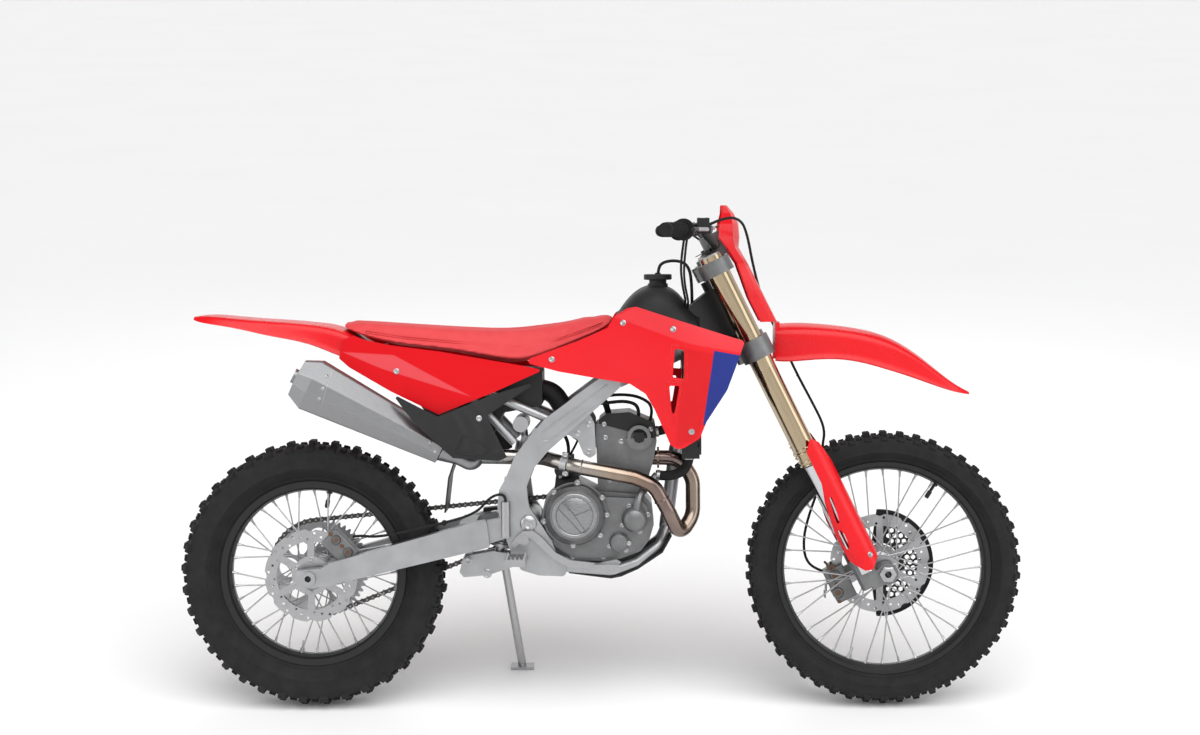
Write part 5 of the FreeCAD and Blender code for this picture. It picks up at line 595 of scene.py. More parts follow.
def add_bolt(form, at, direction, radius, finish=0):
    """Adds a flanged hexagon bolt head with a dished top."""
    place = facing(at, direction)
    add_turned(form, [(0, -0.002), (radius * 1.45, -0.002), (radius * 1.45, radius * 0.12),
                      (radius * 1.05, radius * 0.3), (0, radius * 0.3)], place, 16, finish)
    part = bmesh.new()
    bmesh.ops.create_cone(part, cap_ends=True, cap_tris=False, segments=6, radius1=radius,
                          radius2=radius * 0.94, depth=radius * 0.8)
    bmesh.ops.translate(part, vec=(0, 0, radius * 0.65), verts=part.verts)
    top = max(part.faces, key=lambda face: face.calc_center_median().z)
    bmesh.ops.inset_region(part, faces=[top], thickness=radius * 0.25, depth=-radius * 0.15)
    join_copies(form, part, [place], finish)


def add_hose(form, route, radius, fine=6):
    """Adds a round hose or cable along a smooth line through the middle of its route."""
    curve = bpy.data.curves.new("route", "CURVE")
    curve.dimensions = "3D"
    curve.bevel_depth = radius
    curve.bevel_resolution = 2
    curve.use_fill_caps = True
    curve.resolution_u = fine
    line = curve.splines.new("NURBS")
    line.points.add(len(route) - 1)
    for point, place in zip(line.points, route):
        point.co = (*place, 1)
    line.order_u = 3
    line.use_endpoint_u = True
    carrier = bpy.data.objects.new("route", curve)
    mesh = bpy.data.meshes.new_from_object(carrier)
    known = len(form.verts)
    form.from_mesh(mesh)
    form.verts.ensure_lookup_table()
    bmesh.ops.remove_doubles(form, verts=form.verts[known:], dist=1e-6)
    bpy.data.objects.remove(carrier)
    bpy.data.curves.remove(curve)
    bpy.data.meshes.remove(mesh)


# Fitting onto the solids

SURFACES = {}


def on_surface(node, x, z, side):
    """Point and outward direction where a line across the bike first meets a solid."""
    if node not in SURFACES:
        mesh = frame["nodes"][node].data
        SURFACES[node] = BVHTree.FromPolygons([vert.co for vert in mesh.vertices],
                                              [face.vertices for face in mesh.polygons])
    spot, normal = SURFACES[node].ray_cast(PARKED @ Vector((x, side * 0.6, z)),
                                           PARKED.to_3x3() @ Vector((0, -side, 0)))[:2]
    if spot is None:
        raise RuntimeError("no surface of %s at %.3f %.3f" % (node, x, z))
    upright = PARKED.inverted()
    return upright @ spot, upright.to_3x3() @ normal


def add_bolts_on(form, node, places, radius):
    """Adds a bolt head on a solid at each place, on each side of the bike."""
    for x, z in places:
        for side in SIDES:
            spot, outward = on_surface(node, x, z, side)
            add_bolt(form, spot, outward, radius)


def add_bead_on(form, node, route, steps, side, wire, lift=0.0):
    """Adds a raised bead along a route drawn on a solid from the side of the bike.

    Each straight run gets more points, so that the bead follows a curved panel.
    """
    points = []
    for (ax, az), (bx, bz) in zip(route, route[1:]):
        points += [(ax + (bx - ax) * k / steps, az + (bz - az) * k / steps) for k in range(steps)]
    line = []
    for x, z in points + [route[-1]]:
        spot, outward = on_surface(node, x, z, side)
        line.append(spot + outward * lift)
    add_hose(form, line, wire, 4)


# Tyres and wheels; the sizes are those of the solids

SPOKES = 36
SPOKE_LEAD = math.radians(58)
SPOKE_CROSSING = 0.00195
SPOKE_TIP_ACROSS = 0.0045
HUB_BOLTS = 6
DISC_BOLT_CIRCLE = 0.043
SPROCKET_BOLT_CIRCLE = 0.056
SPROCKET_FACE = 0.0765
NIPPLE = [(0, -0.016), (0.0026, -0.016), (0.0032, -0.004), (0.0048, -0.001), (0.0048, 0.002),
          (0, 0.002)]
VALVE = [(0, -0.003), (0.0085, -0.003), (0.0085, 0.004), (0.0042, 0.006), (0.0042, 0.022),
         (0.0060, 0.023), (0.0060, 0.040), (0.0048, 0.043), (0, 0.043)]
RIM_LOCK = [(0, -0.003), (0.0095, -0.003), (0.0095, 0.003), (0.0065, 0.003), (0.0065, 0.010),
            (0.0035, 0.010), (0.0035, 0.030), (0, 0.030)]

# Angles are in degrees. A tread block has its place across, depth below the ground line, lean,
# length round the tyre, width across it, height, and the part of a row that it lies ahead.
WHEELS = {
    "front": {
        "axle": FRONT_AXLE, "radius": 0.355, "half": 0.047, "tread_half": 0.040,
        "bead_radius": 0.276, "rim_half": 0.0237, "well_radius": 0.264, "lug": 0.013,
        "blocks": [(0.0105, 0, 0.05, 0.019, 0.016, 0.013, 0),
                   (0.0248, 0.005, 0.42, 0.017, 0.014, 0.00884, 0.5),
                   (0.0372, 0.011, 0.75, 0.021, 0.014, 0.01235, 0)],
        "flange_radius": 0.0335, "flange_half": 0.0305, "spoke_reach": 0.2544,
        "rim_inner": 0.2545, "valve": 58, "rim_lock": -110, "disc_side": 1, "disc_face": 0.063},
    "rear": {
        "axle": REAR_AXLE, "radius": 0.346, "half": 0.059, "tread_half": 0.050,
        "bead_radius": 0.241, "rim_half": 0.0297, "well_radius": 0.2225, "lug": 0.015,
        "blocks": [(0.0135, 0, 0.03, 0.019, 0.022, 0.015, 0),
                   (0.0300, 0.0045, 0.30, 0.019, 0.020, 0.0105, 0.5),
                   (0.0470, 0.011, 0.62, 0.024, 0.018, 0.015, 0)],
        "flange_radius": 0.0415, "flange_half": 0.0355, "spoke_reach": 0.2139,
        "rim_inner": 0.214, "valve": 79, "rim_lock": -100, "disc_side": -1, "disc_face": 0.066},
}


class TyreSizes(bpy.types.PropertyGroup):
    """Sizes of the tread blocks."""
    front_rows: bpy.props.IntProperty(
        name="Front rows", description="Rows of blocks round the front tyre",
        default=50, min=20, max=80)
    rear_rows: bpy.props.IntProperty(
        name="Rear rows", description="Rows of blocks round the rear tyre",
        default=37, min=20, max=80)
    chamfer: bpy.props.FloatProperty(
        name="Chamfer", description="Chamfer on the edges of a block",
        default=0.0014, min=0.0, max=0.004, unit="LENGTH")


def make_tyre(end, rows, chamfer):
    """Carcass with moulded sidewall rings, and rows of chamfered blocks."""
    wheel, form, row = WHEELS[end], bmesh.new(), bmesh.new()
    half, tread, bead = wheel["half"], wheel["tread_half"], wheel["bead_radius"]
    rim_half, lug = wheel["rim_half"], wheel["lug"]
    ground, wall = wheel["radius"] - lug, wheel["radius"] - bead
    profile = [
        (wheel["well_radius"], -rim_half), (bead, -rim_half), (bead + 0.003, -rim_half - 0.0045),
        (bead + 0.008, -rim_half - 0.008), (bead + 0.010, -rim_half - 0.0075),
        (bead + 0.30 * wall, -0.93 * half), (bead + 0.34 * wall, -0.965 * half),
        (bead + 0.36 * wall, -0.955 * half), (bead + 0.55 * wall, -0.985 * half),
        (bead + 0.70 * wall, -0.97 * half), (ground - 0.45 * lug, -0.5 * (half + tread)),
        (ground - 0.1 * lug, -0.72 * tread), (ground + 0.1 * lug, -0.35 * tread),
        (ground + 0.14 * lug, 0)]
    profile += [(r, -h) for r, h in reversed(profile[:-1])]
    add_turned(form, profile, facing(wheel["axle"], LEFTWARD), 160)
    step = FULL_TURN / rows
    for side in SIDES:
        for across, drop, lean, length, width, height, part in wheel["blocks"]:
            place = (Matrix.Rotation(-part * step, 4, "Y")
                     @ Matrix.Translation((0, side * across, ground - drop))
                     @ Matrix.Rotation(-side * lean, 4, "X")
                     @ Matrix.Translation((0, 0, height / 2 - 0.002)))
            add_block(row, (length, width, height + 0.004), place, chamfer, 1, 0.84)
    join_copies(form, row, [Matrix.Translation(wheel["axle"]) @ Matrix.Rotation(-i * step, 4, "Y")
                            for i in range(rows)])
    as_piece(end + "_tyre_knobbly", form, end + "_wheel", "tyre_rubber",
             [end + "_tyre"])


class BIKE_OT_tyres(bpy.types.Operator):
    """Makes both knobbly tyres in place of their solids"""
    bl_idname = "bike.tyres"
    bl_label = "Tyres"

    def execute(self, context):
        sizes = context.scene.bike_tyres
        make_tyre("front", sizes.front_rows, sizes.chamfer)
        make_tyre("rear", sizes.rear_rows, sizes.chamfer)
        return {"FINISHED"}


def spoke_ends(wheel, i):
    """Foot and tip of one spoke about its axle, as the wheel is laced."""
    side = 1 if i % 2 else -1
    lead = 1 if (i // 2) % 2 else -1
    angle = FULL_TURN * i / SPOKES
    crossing = lead * SPOKE_CROSSING
    return (around(wheel["flange_radius"], angle + lead * SPOKE_LEAD,
                   side * (wheel["flange_half"] + crossing)),
            around(wheel["spoke_reach"], angle, side * (SPOKE_TIP_ACROSS + crossing)))


def make_wheel_fittings(end):
    """Spoke nipples, valve, rim lock and the bolts of the hub's disc and sprocket."""
    wheel, form = WHEELS[end], bmesh.new()
    axle, disc_side = wheel["axle"], wheel["disc_side"]
    for i in range(SPOKES):
        foot, tip = spoke_ends(wheel, i)
        add_cap(form, axle + tip, (tip - foot).normalized(), NIPPLE, 0, 8)
    for angle, profile, finish, steps in ((wheel["valve"], VALVE, 1, 12),
                                          (wheel["rim_lock"], RIM_LOCK, 0, 6)):
        outward = around(1, math.radians(angle))
        add_cap(form, axle + outward * wheel["rim_inner"], -outward, profile, finish, steps)
    for i in range(HUB_BOLTS):
        angle = FULL_TURN * (i + 0.5) / HUB_BOLTS
        add_bolt(form, axle + around(DISC_BOLT_CIRCLE, angle, disc_side * wheel["disc_face"]),
                 (0, disc_side, 0), 0.0045)
        if end == "rear":
            add_bolt(form, axle + around(SPROCKET_BOLT_CIRCLE, angle, SPROCKET_FACE), LEFTWARD,
                     0.0050)
    as_piece(end + "_wheel_fittings", form, end + "_wheel", ["plain_steel", "black_enamel"])


class BIKE_OT_wheel_fittings(bpy.types.Operator):
    """Makes the nipples, valves, rim locks and hub bolts of both wheels"""
    bl_idname = "bike.wheel_fittings"
    bl_label = "Wheel fittings"

    def execute(self, context):
        for end in WHEELS:
            make_wheel_fittings(end)
        return {"FINISHED"}


# Chain

CHAIN_PITCH = 0.015875
CHAIN_LINE = 0.0735
REAR_TEETH, FRONT_TEETH = 50, 13
ARC_STEPS = 48
LINK_PLATE = 0.0018
ROLLER_RADIUS, ROLLER_HALF, PIN_RADIUS = 0.0050, 0.0042, 0.0026


def chain_pins(big, small):
    """Places of the chain's pins, evenly spaced round both sprockets."""
    line = COUNTERSHAFT - REAR_AXLE
    slope = math.atan2(line.z, line.x)
    turn = math.asin((big - small) / line.length)
    track = []
    for centre, radius, start, sweep in (
            (COUNTERSHAFT, small, slope - math.pi / 2 + turn, math.pi - 2 * turn),
            (REAR_AXLE, big, slope + math.pi / 2 - turn, math.pi + 2 * turn)):
        track += [centre + around(radius, start + sweep * i / ARC_STEPS)
                  for i in range(ARC_STEPS + 1)]
    track.append(track[0])
    runs = [(b - a).length for a, b in zip(track, track[1:])]
    count = 2 * round(sum(runs) / CHAIN_PITCH / 2)
    step, walked, k, pins = sum(runs) / count, 0.0, 0, []
    for i in range(count):
        while walked + runs[k] < i * step:
            walked += runs[k]
            k += 1
        pins.append(track[k].lerp(track[k + 1], (i * step - walked) / runs[k]))
    return pins


class BIKE_OT_chain(bpy.types.Operator):
    """Makes the roller chain link by link in place of its solid"""
    bl_idname = "bike.chain"
    bl_label = "Chain"

    def execute(self, context):
        form = bmesh.new()
        pins = chain_pins(*(CHAIN_PITCH / (2 * math.sin(math.pi / teeth))
                            for teeth in (REAR_TEETH, FRONT_TEETH)))
        half = CHAIN_PITCH / 2
        edge = [(-half, 0.0068), (-half * 0.45, 0.0046), (half * 0.45, 0.0046), (half, 0.0068),
                (half + 0.0062, 0.003)]
        waist = edge + [(half + 0.0062, -0.003)] + [(x, -y) for x, y in edge[3::-1]]
        waist += [(-half - 0.0062, -0.003), (-half - 0.0062, 0.003)]
        places = [[], []]
        for k, (here, there) in enumerate(zip(pins, pins[1:] + pins[:1])):
            along = (there - here).normalized()
            place = Matrix((along, along.cross(LEFTWARD), -LEFTWARD)).transposed().to_4x4()
            place.translation = (here + there) / 2 + LEFTWARD * CHAIN_LINE
            places[k % 2].append(place)
        for gap, reach, spots in ((0.0064, 0.0092, places[0]), (0.0043, 0.0075, places[1])):
            link = bmesh.new()
            for height in (gap, -gap - LINK_PLATE):
                add_plate(link, waist, LINK_PLATE, Matrix.Translation((0, 0, height)))
            for end in (-half, half):
                for radius, length in ((ROLLER_RADIUS, ROLLER_HALF), (PIN_RADIUS, reach)):
                    barrel = [(0, -length), (radius, -length), (radius, length), (0, length)]
                    add_turned(link, barrel, Matrix.Translation((end, 0, 0)), 8, 1)
            join_copies(form, link, spots)
        as_piece("drive_chain_links", form, "chassis", ["oiled_steel", "plain_steel"],
                 ["drive_chain"])
        return {"FINISHED"}


# Bodywork and frame fittings, drawn as x and z in side view

COVER_EDGE = [(0.402, 0.714), (0.474, 0.680), (0.450, 0.660), (0.382, 0.671), (0.402, 0.714)]
VENT_EDGES = (
    [(0.930, 0.944), (0.968, 0.939), (0.967, 0.855), (0.923, 0.858), (0.930, 0.944)],
    [(0.914, 0.851), (0.955, 0.850), (0.935, 0.733), (0.914, 0.851)])
FRAME_POCKET = [(0.766, 0.840), (0.687, 0.782), (0.630, 0.742), (0.606, 0.723), (0.599, 0.709),
                (0.604, 0.697), (0.617, 0.699), (0.640, 0.713), (0.695, 0.756), (0.764, 0.804)]
PIVOT_WASHER = [(0.021, -0.002), (0.021, 0.001), (0.018, 0.004), (0.0135, 0.005)]


class BIKE_OT_bodywork(bpy.types.Operator):
    """Makes the panels' bolts, seams and raised edges"""
    bl_idname = "bike.bodywork"
    bl_label = "Bodywork fittings"

    def execute(self, context):
        form = bmesh.new()
        for node, places in (("shrouds", [(0.808, 0.998), (0.933, 0.983), (0.978, 0.727),
                                          (0.627, 0.905)]),
                             ("side_covers", [(0.232, 0.876)]), ("lower_covers", [(0.442, 0.757)])):
            add_bolts_on(form, node, places, 0.0052)
        as_piece("panel_bolts", form, "chassis", "plain_steel")
        form = bmesh.new()
        for side in SIDES:
            add_bead_on(form, "lower_covers", COVER_EDGE, 4, side, 0.0016)
        as_piece("lower_cover_edges", form, "chassis", "black_grained")
        form = bmesh.new()
        for side in SIDES:
            for route in VENT_EDGES:
                add_bead_on(form, "shrouds", route, 5, side, 0.0018, lift=-0.0008)
        as_piece("shroud_vent_edges", form, "chassis", "red_gloss")
        return {"FINISHED"}


class BIKE_OT_frame_fittings(bpy.types.Operator):
    """Makes the frame's pocket edges and bolts"""
    bl_idname = "bike.frame_fittings"
    bl_label = "Frame fittings"

    def execute(self, context):
        form = bmesh.new()
        for side in SIDES:
            add_bead_on(form, "main_frame", FRAME_POCKET, 3, side, 0.0020)
        as_piece("frame_beads", form, "chassis", "satin_alloy")
        form = bmesh.new()
        add_bolts_on(form, "main_frame", [(0.720, 0.738), (0.691, 0.715), (0.719, 0.668)], 0.0055)
        for side in SIDES:
            spot, outward = on_surface("main_frame", 0.565, 0.488, side)
            add_cap(form, spot, outward, PIVOT_WASHER)
            add_bolt(form, spot + outward * 0.003, outward, 0.0115)
        add_bolts_on(form, "linkage", [(0.402, 0.380), (0.452, 0.345)], 0.0085)
        as_piece("frame_bolts", form, "chassis", "plain_steel")
        return {"FINISHED"}


# Engine fittings

# Turned faces on the engine's right: place, profile, finish and steps
COVER_FACES = (
    ((0.683, -0.148, 0.510), [(0.048, -0.001), (0.0565, -0.001), (0.0565, 0.0030), (0.054, 0.0042),
                              (0.050, 0.0042), (0.048, 0.0030)], 1, 64),
    ((0.683, -0.148, 0.510), [(0, -0.001), (0.0465, -0.001), (0.0465, 0.0004), (0.0455, 0.0010),
                              (0, 0.0012)], 1, 64),
    ((0.683, -0.118, 0.510), [(0.0795, -0.002), (0.0825, -0.002), (0.0825, 0.001),
                              (0.0795, 0.001)], 0, 64),
    ((0.835, -0.133, 0.497), [(0, -0.001), (0.024, -0.001), (0.024, 0.003), (0.016, 0.008),
                              (0, 0.008)], 0, 40),
    ((0.795, -0.123, 0.438), [(0, -0.001), (0.019, -0.001), (0.019, 0.002), (0.014, 0.0035),
                              (0, 0.0035)], 0, 40),
    ((0.847, -0.088, 0.704), [(0.021, -0.004), (0.030, -0.001), (0.030, 0.001), (0.021, 0.001)],
     0, 48),
)
CLUTCH_RIBS = (((0.648, 0.548), (0.684, 0.512)), ((0.684, 0.512), (0.728, 0.528)),
               ((0.640, 0.531), (0.700, 0.466)), ((0.655, 0.551), (0.710, 0.472)))
RIB_HALF = 0.0011
CLUTCH_TICKS = 24
PUMP_PIPE = [(0.839, -0.120, 0.503), (0.842, -0.126, 0.534), (0.848, -0.116, 0.560),
             (0.867, -0.100, 0.580), (0.892, -0.090, 0.607)]
# Clutch cover bolts on bosses, as x and z
BOSS_BOLTS = ((0.690, 0.590), (0.630, 0.566), (0.604, 0.492), (0.618, 0.440), (0.678, 0.430),
              (0.747, 0.456), (0.764, 0.508), (0.752, 0.552))
BOSS = [(0.009, 0), (0.009, 0.012), (0, 0.012)]
# The other bolts on the right, for each size
ENGINE_BOLTS = {
    0.0042: ((0.821, -0.105, 0.529), (0.803, -0.105, 0.480), (0.848, -0.105, 0.463),
             (0.868, -0.105, 0.507), (0.820, -0.1235, 0.436), (0.812, -0.105, 0.416),
             (0.770, -0.105, 0.426), (0.675, -0.082, 0.396), (0.754, -0.082, 0.396)),
    0.0048: ((0.801, -0.062, 0.690), (0.760, -0.062, 0.700), (0.770, -0.062, 0.590),
             (0.840, -0.062, 0.600)),
    0.0045: ((0.757, -0.066, 0.735), (0.877, -0.066, 0.722)),
}
GENERATOR = Vector((0.762, 0, 0.474))
GENERATOR_BOLTS = 7
# Outline of a black plate on the cam cap, as x and z: painted shade standing for its recess
CAM_CAP_SHADE = [(0.835, 0.716), (0.858, 0.716), (0.862, 0.704), (0.858, 0.692), (0.847, 0.688),
                  (0.836, 0.692), (0.832, 0.704)]
STARTER = Vector((0.655, -0.062, 0.618))
STARTER_PROFILE = [(0, 0), (0.022, 0), (0.026, 0.003), (0.026, 0.012), (0.0245, 0.014),
                   (0.0245, 0.082), (0.026, 0.084), (0.026, 0.100), (0.018, 0.108), (0, 0.108)]
# Two starter cables, the breather hose and two smaller hoses behind the spar, each with its radius
ENGINE_HOSES = (
    (0.0045, [(0.665, -0.052, 0.652), (0.668, -0.060, 0.690), (0.645, -0.070, 0.720),
              (0.625, -0.072, 0.745)]),
    (0.0032, [(0.668, -0.044, 0.652), (0.690, -0.055, 0.690), (0.700, -0.070, 0.728),
              (0.670, -0.074, 0.760)]),
    (0.0080, [(0.770, -0.020, 0.750), (0.762, -0.030, 0.795), (0.735, -0.045, 0.810),
              (0.690, -0.060, 0.780), (0.660, -0.062, 0.755)]),
    (0.0045, [(0.845, -0.052, 0.745), (0.850, -0.056, 0.780), (0.815, -0.062, 0.795),
              (0.765, -0.066, 0.790), (0.710, -0.066, 0.785), (0.680, -0.066, 0.760)]),
    (0.0040, [(0.872, -0.030, 0.730), (0.888, -0.035, 0.775), (0.850, -0.045, 0.805),
              (0.790, -0.056, 0.812), (0.730, -0.060, 0.800), (0.700, -0.060, 0.775)]),
)


class BIKE_OT_engine_fittings(bpy.types.Operator):
    """Makes the cover rims, ribs, pipes, bolts, starter motor and hoses of the engine"""
    bl_idname = "bike.engine_fittings"
    bl_label = "Engine fittings"

    def execute(self, context):
        self.make_rims()
        self.make_bolts()
        form = bmesh.new()
        # Black plate on the cam cap as painted shade in its recess
        add_plate(form, CAM_CAP_SHADE, 0.0012, side_on(-1, -0.088), 0.0004)
        as_piece("cam_cap_shade_plate", form, "chassis", "black_enamel")
        self.make_starter()
        return {"FINISHED"}

    def make_rims(self):
        """Turned faces, ribs and ticks on the right covers, and the pump's pipe."""
        form = bmesh.new()
        for at, profile, finish, steps in COVER_FACES:
            add_cap(form, at, RIGHTWARD, profile, finish, steps)
        for a, b in CLUTCH_RIBS:
            a, b = Vector(a), Vector(b)
            across = Vector((a.y - b.y, b.x - a.x)).normalized() * RIB_HALF
            add_plate(form, [a + across, b + across, b - across, a - across], 0.0016,
                      side_on(-1, -0.149), 0.0005)
        add_hose(form, PUMP_PIPE, 0.0105)
        for i in range(CLUTCH_TICKS):
            angle = FULL_TURN * i / CLUTCH_TICKS
            spot = Vector((0.683, 0, 0.510)) + around(0.0455, angle, -0.1485)
            add_block(form, (0.0035, 0.0012, 0.0020),
                      Matrix.Translation(spot) @ Matrix.Rotation(-angle, 4, "Y"))
        as_piece("engine_cover_rims", form, "chassis", ["cast_alloy", "machined_alloy"])

    def make_bolts(self):
        form = bmesh.new()
        for x, z in BOSS_BOLTS:
            add_cap(form, (x, -0.1045, z), RIGHTWARD, BOSS, 1, 16)
            add_bolt(form, (x, -0.118, z), RIGHTWARD, 0.0045)
        for radius, places in ENGINE_BOLTS.items():
            for place in places:
                add_bolt(form, place, RIGHTWARD, radius)
        for i in range(GENERATOR_BOLTS):
            add_bolt(form, GENERATOR + around(0.056, FULL_TURN * i / GENERATOR_BOLTS, 0.083),
                     LEFTWARD, 0.0042)
        as_piece("engine_bolts", form, "chassis", ["plain_steel", "cast_alloy"])

    def make_starter(self):
        """Starter motor behind the cylinder, with its cables and the hoses beside it."""
        form = bmesh.new()
        add_cap(form, STARTER, LEFTWARD, STARTER_PROFILE, 0, 40)
        for angle in (0.6, 2.4, 4.2):
            add_bolt(form, STARTER + around(0.021, angle), -LEFTWARD, 0.0032, 1)
        add_block(form, (0.072, 0.050, 0.060), Matrix.Translation((0.662, -0.028, 0.578)),
                  0.006, 2, 0.8)
        add_block(form, (0.030, 0.030, 0.018), Matrix.Translation((0.665, -0.045, 0.648)), 0.003, 2)
        as_piece("starter_motor", form, "chassis", ["black_enamel", "plain_steel"])
        form = bmesh.new()
        for radius, route in ENGINE_HOSES:
            add_hose(form, route, radius)
        as_piece("engine_hoses", form, "chassis", "hose_rubber")


# Exhaust fittings

HEADER_RING = (0.0192, 0.0020)
CLAMP_AT = (0.660, -0.110, 0.6385)
CLAMP_WAY = (-0.90, 0.38, 0.18)
RIVET = [(0.0045, -0.001), (0.0045, 0.0006), (0.003, 0.0018), (0, 0.002)]
RIVETS = ((0.063, 0.868), (0.055, 0.838), (0.046, 0.812), (0.318, 0.696), (0.330, 0.672))
MUFFLER_SEAMS = (
    [(0.0755, 0.880), (0.0725, 0.868), (0.0640, 0.840), (0.0555, 0.812), (0.0490, 0.790)],
    [(0.310, 0.703), (0.322, 0.676)])


class BIKE_OT_exhaust_fittings(bpy.types.Operator):
    """Makes the header's welds and clamp and the muffler's rivets and seams"""
    bl_idname = "bike.exhaust_fittings"
    bl_label = "Exhaust fittings"

    def execute(self, context):
        form = bmesh.new()
        for at, way in (((0.700, -0.1242, 0.6303), (-0.982, 0.026, 0.185)),
                        ((0.904, -0.1220, 0.5483), (-0.47, -0.11, 0.876))):
            add_ring(form, at, way, *HEADER_RING)
        add_band(form, CLAMP_AT, CLAMP_WAY, 0.0195, 0.0225, 0.009, 1)
        for height in (0.6625, 0.6145):
            add_block(form, (0.010, 0.012, 0.016), facing((0.660, -0.118, height), CLAMP_WAY),
                      0.0015, finish=1)
            add_bolt(form, (0.660, -0.126, height), RIGHTWARD, 0.0042, 1)
        as_piece("header_welds", form, "chassis", ["heated_steel", "plain_steel"])
        form = bmesh.new()
        for x, z in RIVETS:
            add_cap(form, *on_surface("muffler", x, z, -1), RIVET, 0, 12)
        for route in MUFFLER_SEAMS:
            add_bead_on(form, "muffler", route, 6, -1, 0.0012)
        as_piece("muffler_rivets", form, "chassis", "plain_steel")
        return {"FINISHED"}


# Fork, controls and hoses

# Height up the fork, radius and wire of each ring on an outer tube's foot
FORK_RINGS = ((0.3395, 0.0300, 0.0022), (0.350, 0.0304, 0.0016), (0.3725, 0.0302, 0.0020),
              (0.382, 0.0286, 0.0014))
WIPER = [(0.0246, 0), (0.028, 0.0005), (0.0290, 0.005), (0.0246, 0.005)]
FORK_CAP = [(0, -0.002), (0.027, -0.002), (0.027, 0.004), (0.025, 0.006), (0, 0.006)]
AXLE_NUT = [(0.0095, -0.004), (0.0215, -0.004), (0.0215, 0.006), (0.0185, 0.008), (0.0095, 0.008)]
STEM_CAP = [(0, -0.001), (0.012, -0.001), (0.012, 0.001), (0, 0.001)]
FRONT_BRAKE_HOSE = [
    (1.000, -0.225, 1.232), (1.060, -0.215, 1.262), (1.105, -0.150, 1.255), (1.125, -0.060, 1.215),
    (1.140, 0.000, 1.150), (1.160, 0.040, 1.075), (1.185, 0.060, 1.010), (1.225, 0.063, 0.930),
    (1.262, 0.063, 0.850), (1.300, 0.063, 0.780), (1.335, 0.066, 0.710), (1.330, 0.100, 0.660),
    (1.325, 0.130, 0.550), (1.298, 0.132, 0.475), (1.282, 0.120, 0.415), (1.284, 0.106, 0.362),
    (1.308, 0.092, 0.335), (1.340, 0.082, 0.328)]
# Cables from the steering to the chassis
CROSSING_CABLES = {
    "throttle_cable_pull": [
        (0.960, -0.262, 1.212), (0.950, -0.250, 1.150), (0.955, -0.190, 1.100),
        (0.962, -0.120, 1.070), (0.968, -0.070, 1.045), (0.960, -0.045, 1.010)],
    "throttle_cable_return": [
        (0.966, -0.262, 1.206), (0.958, -0.246, 1.145), (0.962, -0.184, 1.094),
        (0.970, -0.114, 1.064), (0.975, -0.064, 1.040), (0.967, -0.038, 1.008)],
    "clutch_cable": [
        (0.985, 0.225, 1.222), (1.040, 0.210, 1.190), (1.060, 0.150, 1.130),
        (1.030, 0.090, 1.070), (0.985, 0.060, 1.035), (0.965, 0.045, 1.005)],
}
TANK_BREATHER = [(0.897, 0, 1.100), (0.897, 0, 1.135), (0.915, 0, 1.150), (0.950, 0, 1.152),
                 (0.975, 0, 1.140), (0.985, 0, 1.100), (0.985, 0, 1.040)]
BREATHER_CUFF = [(0, -0.002), (0.0075, -0.002), (0.0075, 0.004), (0, 0.004)]


class BIKE_OT_fork_fittings(bpy.types.Operator):
    """Makes the fork's seal rings, caps, pinch bolts and guard bolts"""
    bl_idname = "bike.fork_fittings"
    bl_label = "Fork fittings"

    def execute(self, context):
        gold, steel, black = bmesh.new(), bmesh.new(), bmesh.new()
        for side in SIDES:
            y = side * FORK_SPREAD
            for along, radius, wire in FORK_RINGS:
                add_ring(gold, fork_point(0, y, along), ALONG, radius, wire)
            add_cap(black, fork_point(0, y, 0.334), ALONG, WIPER)
            add_cap(steel, fork_point(0, y, 0.922), ALONG, FORK_CAP)
            add_bolt(black, fork_point(0, y, 0.928), ALONG, 0.012)
            for ahead, across, heights in ((-0.032, 0.117, (0.650, 0.674, 0.884, 0.898)),
                                           (0.070, 0.110, (-0.008, 0.010))):
                for along in heights:
                    add_bolt(steel, fork_point(ahead, side * across, along), LEFTWARD * side,
                             0.0042)
            add_bolt(steel, *on_surface("fork_guards", 1.4306, 0.4076, side), 0.0048)
        add_cap(steel, FRONT_AXLE - LEFTWARD * 0.120, -LEFTWARD, AXLE_NUT, 0, 6)
        add_cap(black, fork_point(-0.020, 0, 0.936), ALONG, STEM_CAP)
        as_piece("fork_seal_rings", gold, "steering", "gold_anodised")
        as_piece("fork_caps_and_bolts", steel, "steering", "plain_steel")
        as_piece("fork_wipers", black, "steering", "black_enamel")
        return {"FINISHED"}


class BIKE_OT_hoses(bpy.types.Operator):
    """Makes the cables and hoses; the cables that cross the steering are left loose, on no body"""
    bl_idname = "bike.hoses"
    bl_label = "Cables and hoses"

    def execute(self, context):
        form = bmesh.new()
        add_hose(form, FRONT_BRAKE_HOSE, 0.0035, 5)
        add_ring(form, (1.2620, 0.063, 0.850), (0.42, 0, -0.9), 0.0035, 0.0012, 12)
        as_piece("front_brake_hose", form, "steering", "hose_rubber")
        for name, route in CROSSING_CABLES.items():
            form = bmesh.new()
            add_hose(form, route, 0.0030, 10)
            piece = loose_piece(name, form, "hose_rubber")
            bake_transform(piece)
        form = bmesh.new()
        add_hose(form, TANK_BREATHER, 0.0040, 8)
        add_cap(form, (0.897, 0, 1.1165), UP, BREATHER_CUFF, 0, 16)
        as_piece("tank_breather_hose", form, "chassis", "hose_rubber")
        return {"FINISHED"}


# Seat

SEAT_SEAM = [(0.150, 0.979), (0.248, 0.964), (0.379, 0.951), (0.546, 0.935), (0.643, 0.957),
             (0.699, 0.976), (0.755, 0.997)]
SEAM_WIRES = {0.0: 0.0013, 0.0045: 0.0009}  # depth below the seam line, and the bead's radius
COVER_ALLOWANCE = 0.0022
SWELL_STEPS = 20


